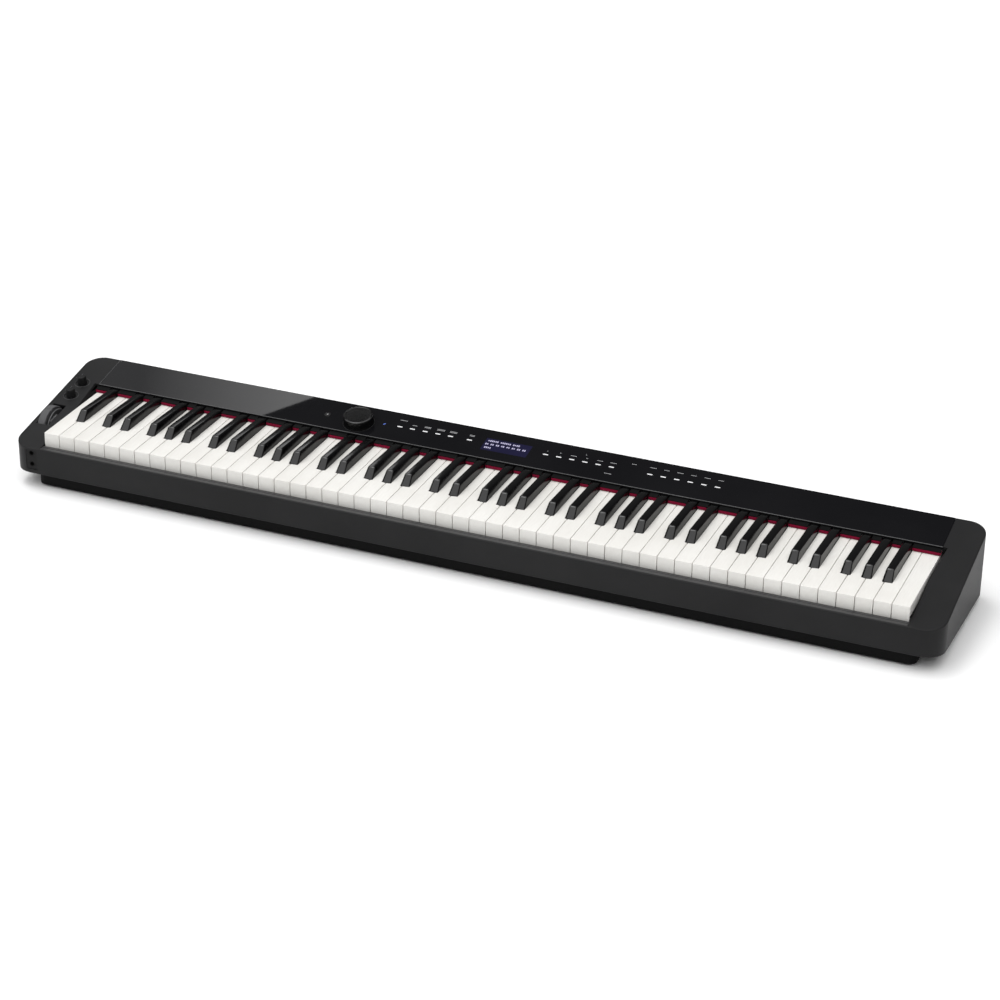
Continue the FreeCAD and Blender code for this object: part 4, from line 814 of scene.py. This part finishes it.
def solids_of(name):
    """Low and high corners of each separate solid of a CAD node, in a fixed order."""
    bm = bmesh.new()
    bm.from_mesh(frame["nodes"][name].data)
    bmesh.ops.remove_doubles(bm, verts=bm.verts, dist=WELD_DISTANCE)
    left = set(bm.verts)
    found = []
    while left:
        island, queue = set(), [next(iter(left))]
        while queue:
            vert = queue.pop()
            if vert in island:
                continue
            island.add(vert)
            queue += [edge.other_vert(vert) for edge in vert.link_edges]
        left -= island
        found.append((Vector([min(v.co[i] for v in island) for i in range(3)]),
                      Vector([max(v.co[i] for v in island) for i in range(3)])))
    bm.free()
    return sorted(found, key=lambda pair: tuple(pair[0]))


def soft_strip(bm, low, high, cell):
    """A strip of felt: round edges, and faces that are never quite flat."""
    count = max(2, int((high.x - low.x) / cell))
    section = []
    for sy, sz, first in ((1, 1, 0), (-1, 1, 1), (-1, -1, 2), (1, -1, 3)):
        for i in range(4):
            angle = math.pi / 2 * (first + i / 3)
            section.append((((high.y - low.y) / 2 - FELT_ROUNDING) * sy + FELT_ROUNDING * math.cos(angle),
                            ((high.z - low.z) / 2 - FELT_ROUNDING) * sz + FELT_ROUNDING * math.sin(angle)))
    middle = (low + high) / 2
    rings = []
    for i in range(count + 1):
        x = low.x + (high.x - low.x) * i / count
        shrink = 1 - FELT_PINCH * (i in (0, count))
        ring = []
        for y, z in section:
            wobble = FELT_ROUGH * noise.noise(Vector((x, y, z)) * FELT_GRAIN)
            ring.append(Vector((x, middle.y + y * shrink * FELT_SHARE[0] + wobble,
                                middle.z + z * shrink * FELT_SHARE[1] + wobble)))
        rings.append(ring)
    loft(bm, rings)


def make_felts():
    for name, slot, cell in FELTS:
        bm = bmesh.new()
        for low, high in solids_of(name):
            soft_strip(bm, low, high, cell)
        strip = piece(f"{name}_strip", bm, "case", LOOKS[slot], [name])


# ---------------------------------------------------------------- sockets, feet, screws, underside

SOCKET_PROFILE = [(0.00345, -0.0002), (0.0039, -0.0002), (0.0039, 0.0001), (0.0036, 0.0002),
                  (0.00345, 0.0001)]
SCREW_SLOT = ((-0.0016, -0.00028, 0.0), (0.0016, 0.00028, 0.0004))
CLOTH_LIFT = 0.0026          # above the case's lowest point
CLOTH_ROUGH = 0.00008
CLOTH_GRAIN = 300


def stood_on(low, high):
    """A frame at the middle of a box's lower face, and the box's height and half width."""
    middle = (low + high) / 2
    return Matrix.Translation((middle.x, middle.y, low.z)), high.z - low.z, (high.x - low.x) / 2


def make_feet():
    bm = bmesh.new()
    for low, high in solids_of("rubber_feet"):
        place, tall, wide = stood_on(low, high)
        turned(bm, [(0.003, 0.0008), (wide - 0.004, 0.0006), (wide - 0.003, 0.0), (wide - 0.0018, 0.0),
                    (wide - 0.0009, 0.0006), (wide - 0.0002, tall * 0.6), (wide, tall - 0.0003),
                    (wide - 0.0004, tall)], place)
    piece("foot_pads", bm, "case", LOOKS["rubber"], ["rubber_feet"])


def make_screws():
    """Pan heads with a cross recess."""
    bm = bmesh.new()
    for low, high in solids_of("case_screws"):
        place, tall, wide = stood_on(low, high)
        turned(bm, [(0.0009, 0.0005), (wide * 0.5, 0.00005), (wide * 0.85, 0.0003), (wide, 0.0009),
                    (wide, 0.0019), (0.0015, 0.002), (0.0015, tall - 0.0012), (0.0005, tall)],
               place, steps=40)
        for turn in (0, math.pi / 2):
            block(bm, *SCREW_SLOT, place=place @ Matrix.Rotation(turn, 4, "Z"))
    piece("screw_heads", bm, "case", LOOKS["steel"], ["case_screws"])


def make_socket_rings():
    """Raised rings round the mouths of the jack sockets."""
    bm = bmesh.new()
    half = math.pi / 2
    for name, facing in (("headphone_jacks", half), ("rear_jacks", -half)):
        for low, high in solids_of(name):
            mouth = low.y if facing > 0 else high.y
            middle = (low + high) / 2
            place = Matrix.Translation((middle.x, mouth, middle.z)) @ Matrix.Rotation(facing, 4, "X")
            turned(bm, SOCKET_PROFILE, place, steps=48, endless=True)
    piece("socket_rings", bm, "case", LOOKS["socket_black"])


def make_speaker_cloth():
    """A thin cloth glued behind the slots under each speaker."""
    width, length = 0.128, 0.064
    columns, rows = 60, 40
    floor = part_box("lower_case")[0].z + CLOTH_LIFT
    for side, (low, high) in zip(("left", "right"), solids_of("speaker_cones")):
        middle = (low + high) / 2
        bm = bmesh.new()
        grid = []
        for j in range(rows + 1):
            y = middle.y + length * (j / rows - 0.5)
            line = []
            for i in range(columns + 1):
                x = middle.x + width * (i / columns - 0.5)
                wave = CLOTH_ROUGH * noise.noise(Vector((x, y, 0)) * CLOTH_GRAIN)
                line.append(bm.verts.new((x, y, floor + wave)))
            grid.append(line)
        for near, far in zip(grid, grid[1:]):
            for i in range(columns):
                bm.faces.new((near[i], near[i + 1], far[i + 1], far[i]))
        cloth = piece(f"speaker_cloth_{side}", bm, "case", CLOTH)


# ---------------------------------------------------------------- nodes kept from the CAD

ROUNDED = {"upper_case": 0.00045, "lower_case": 0.0004, "headphone_plate": 0.0003, "rear_jack_plate": 0.0003,
           "battery_cover": 0.0002, "power_button": 0.0003}
FLAT_ANGLE = math.radians(1)
EDGE_ANGLE = math.radians(35)


def finish_nodes():
    """Give every kept node its slot's look, the panel's skirt a darker one as painted shade, and soften the edges
    of the outer ones.
    """
    slots = {part["node"]: part["material_slot"] for part in frame["record"]["subparts"]}
    for name, item in frame["nodes"].items():
        item.data.materials.clear()
        # The panel's skirt takes the darker look, painted shade under the lip.
        item.data.materials.append(SKIRT_SHADE if name == "panel_skirt" else LOOKS[slots[name]])
        if name in ROUNDED:
            weld = item.modifiers.new("weld", "WELD")
            weld.merge_threshold = WELD_DISTANCE
            flat = item.modifiers.new("flat", "DECIMATE")
            flat.decimate_type = "DISSOLVE"
            flat.angle_limit = FLAT_ANGLE
            soft = item.modifiers.new("soft", "BEVEL")
            soft.width = ROUNDED[name]
            soft.segments = 2
            soft.limit_method = "ANGLE"
            soft.angle_limit = EDGE_ANGLE
            soft.harden_normals = True


# ---------------------------------------------------------------- camera, floor and light

CAMERA_PLACE = Vector((1.26388, -3.01693, 1.73744))
CAMERA_AZIMUTH = math.radians(22.3139)
CAMERA_ELEVATION = math.radians(27.2104)
CAMERA_ROLL = math.radians(0.5846)
CAMERA_LENS = 98.74
FLOOR_SIZE = 30.0
FLOOR_GAP = 0.0002           # the floor below the feet
# Suns: name, direction of the sun, strength, its width in degrees.
SUNS = (("key", (-0.08, -0.2, 0.97), 2.75, 95), ("glint", (-0.3, 0.12, 0.95), 0.5, 20))
# Strength of the room's light in front of the piano and behind it, and between which directions it fades.
ROOM_LIGHT = (0.42, 0.07)
ROOM_FADE = (-0.3, 0.5)
CARD_LINE = ((-0.359, -0.0045), (-0.304, 0.0645))       # two places of its edge's reflection on the panel
CARD_REACH = 1.6             # its distance from the mirrored camera, the panel's being 1
CARD_WIDTH = 0.75
CARD_HALF_LENGTH = 0.6
CARD_FADE = 0.6              # from its bright edge to where it is dimmest
CARD_GLOW = (0.4, 1.7)       # where it is dimmest, and at its bright edge


def make_camera():
    data = bpy.data.cameras.new("camera")
    data.lens = CAMERA_LENS
    data.sensor_width = 36.0
    data.clip_start = 0.05
    data.clip_end = 60.0
    camera = bpy.data.objects.new("camera", data)
    bpy.context.scene.collection.objects.link(camera)
    aim = Matrix.Rotation(CAMERA_AZIMUTH, 4, "Z") @ Matrix.Rotation(math.pi / 2 - CAMERA_ELEVATION, 4, "X") \
        @ Matrix.Rotation(CAMERA_ROLL, 4, "Z")
    camera.matrix_world = Matrix.Translation(CAMERA_PLACE) @ aim
    bpy.context.scene.camera = camera


def make_floor():
    bm = bmesh.new()
    bmesh.ops.create_grid(bm, x_segments=2, y_segments=2, size=FLOOR_SIZE)
    floor = linked("floor", bm)
    floor.location.z = CAD_BOX[0].z - FLOOR_GAP
    look, tree, shader, place = blank("floor_look")
    drift = node(tree, "ShaderNodeTexNoise", [("Vector", place)], Scale=0.6, Detail=2.0)
    tree.links.new(ramp(tree, drift.outputs["Fac"], (0.93, 0.93, 0.93), (0.95, 0.95, 0.95)),
                   shader.inputs["Base Color"])
    shader.inputs["Roughness"].default_value = 0.9
    shader.inputs["Specular IOR Level"].default_value = 0.1
    floor.data.materials.append(look)


def sun(name, direction, strength, angle):
    data = bpy.data.lights.new(name, "SUN")
    data.energy = strength
    data.angle = math.radians(angle)
    made = bpy.data.objects.new(name, data)
    bpy.context.scene.collection.objects.link(made)
    made.rotation_mode = "QUATERNION"
    made.rotation_quaternion = Vector(direction).to_track_quat("Z", "Y")


def make_window_card():
    """A dim card whose reflection lightens the left part of the glossy panel, up to a slanting line."""
    mirrored = CAMERA_PLACE - 2 * (CAMERA_PLACE - LIP).dot(PANEL_UP) * PANEL_UP
    edge = [mirrored + (on_top(u, v) - mirrored) * CARD_REACH for u, v in CARD_LINE]
    middle = (edge[0] + edge[1]) / 2
    along = (edge[1] - edge[0]).normalized()
    across = along.cross(LIP - middle).normalized()
    if across.x > 0:
        across.negate()
    bm = bmesh.new()
    corners = ((0.0, -CARD_HALF_LENGTH), (CARD_WIDTH, -CARD_HALF_LENGTH),
               (CARD_WIDTH, CARD_HALF_LENGTH), (0.0, CARD_HALF_LENGTH))
    bm.faces.new([bm.verts.new(middle + across * x + along * y) for x, y in corners])
    card = linked("window_card", bm)
    look, tree, shader, place = blank("window_look")
    split = node(tree, "ShaderNodeSeparateXYZ", [("Vector", place)])
    glow = spread(tree, split.outputs["X"], *CARD_GLOW, (middle + across * CARD_FADE).x, middle.x)
    shader.inputs["Base Color"].default_value = (0, 0, 0, 1)
    shader.inputs["Emission Color"].default_value = (1, 1, 1, 1)
    tree.links.new(glow, shader.inputs["Emission Strength"])
    card.data.materials.append(look)
    card.visible_camera = False
    card.visible_shadow = False


def make_world():
    """A pale room in front and overhead, dim behind the piano so that its gloss stays dark."""
    world = bpy.data.worlds.new("studio")
    bpy.context.scene.world = world
    world.use_nodes = True
    tree = world.node_tree
    around = tree.nodes.new("ShaderNodeTexCoord").outputs["Generated"]
    split = node(tree, "ShaderNodeSeparateXYZ", [("Vector", around)])
    shade = spread(tree, split.outputs["Y"], *ROOM_LIGHT, *ROOM_FADE)
    ground = tree.nodes["Background"]
    ground.inputs["Color"].default_value = (1, 1, 1, 1)
    tree.links.new(shade, ground.inputs["Strength"])


def make_light():
    make_world()
    for one in SUNS:
        sun(*one)
    make_window_card()
    bpy.context.scene.view_settings.view_transform = "Standard"


make_camera()
make_floor()
make_light()
make_keys()
make_panel_marks()
make_display()
make_trims()
make_volume()
make_small_knobs()
make_wheel()
make_power_light()
make_felts()
make_feet()
make_screws()
make_socket_rings()
make_speaker_cloth()
finish_nodes()
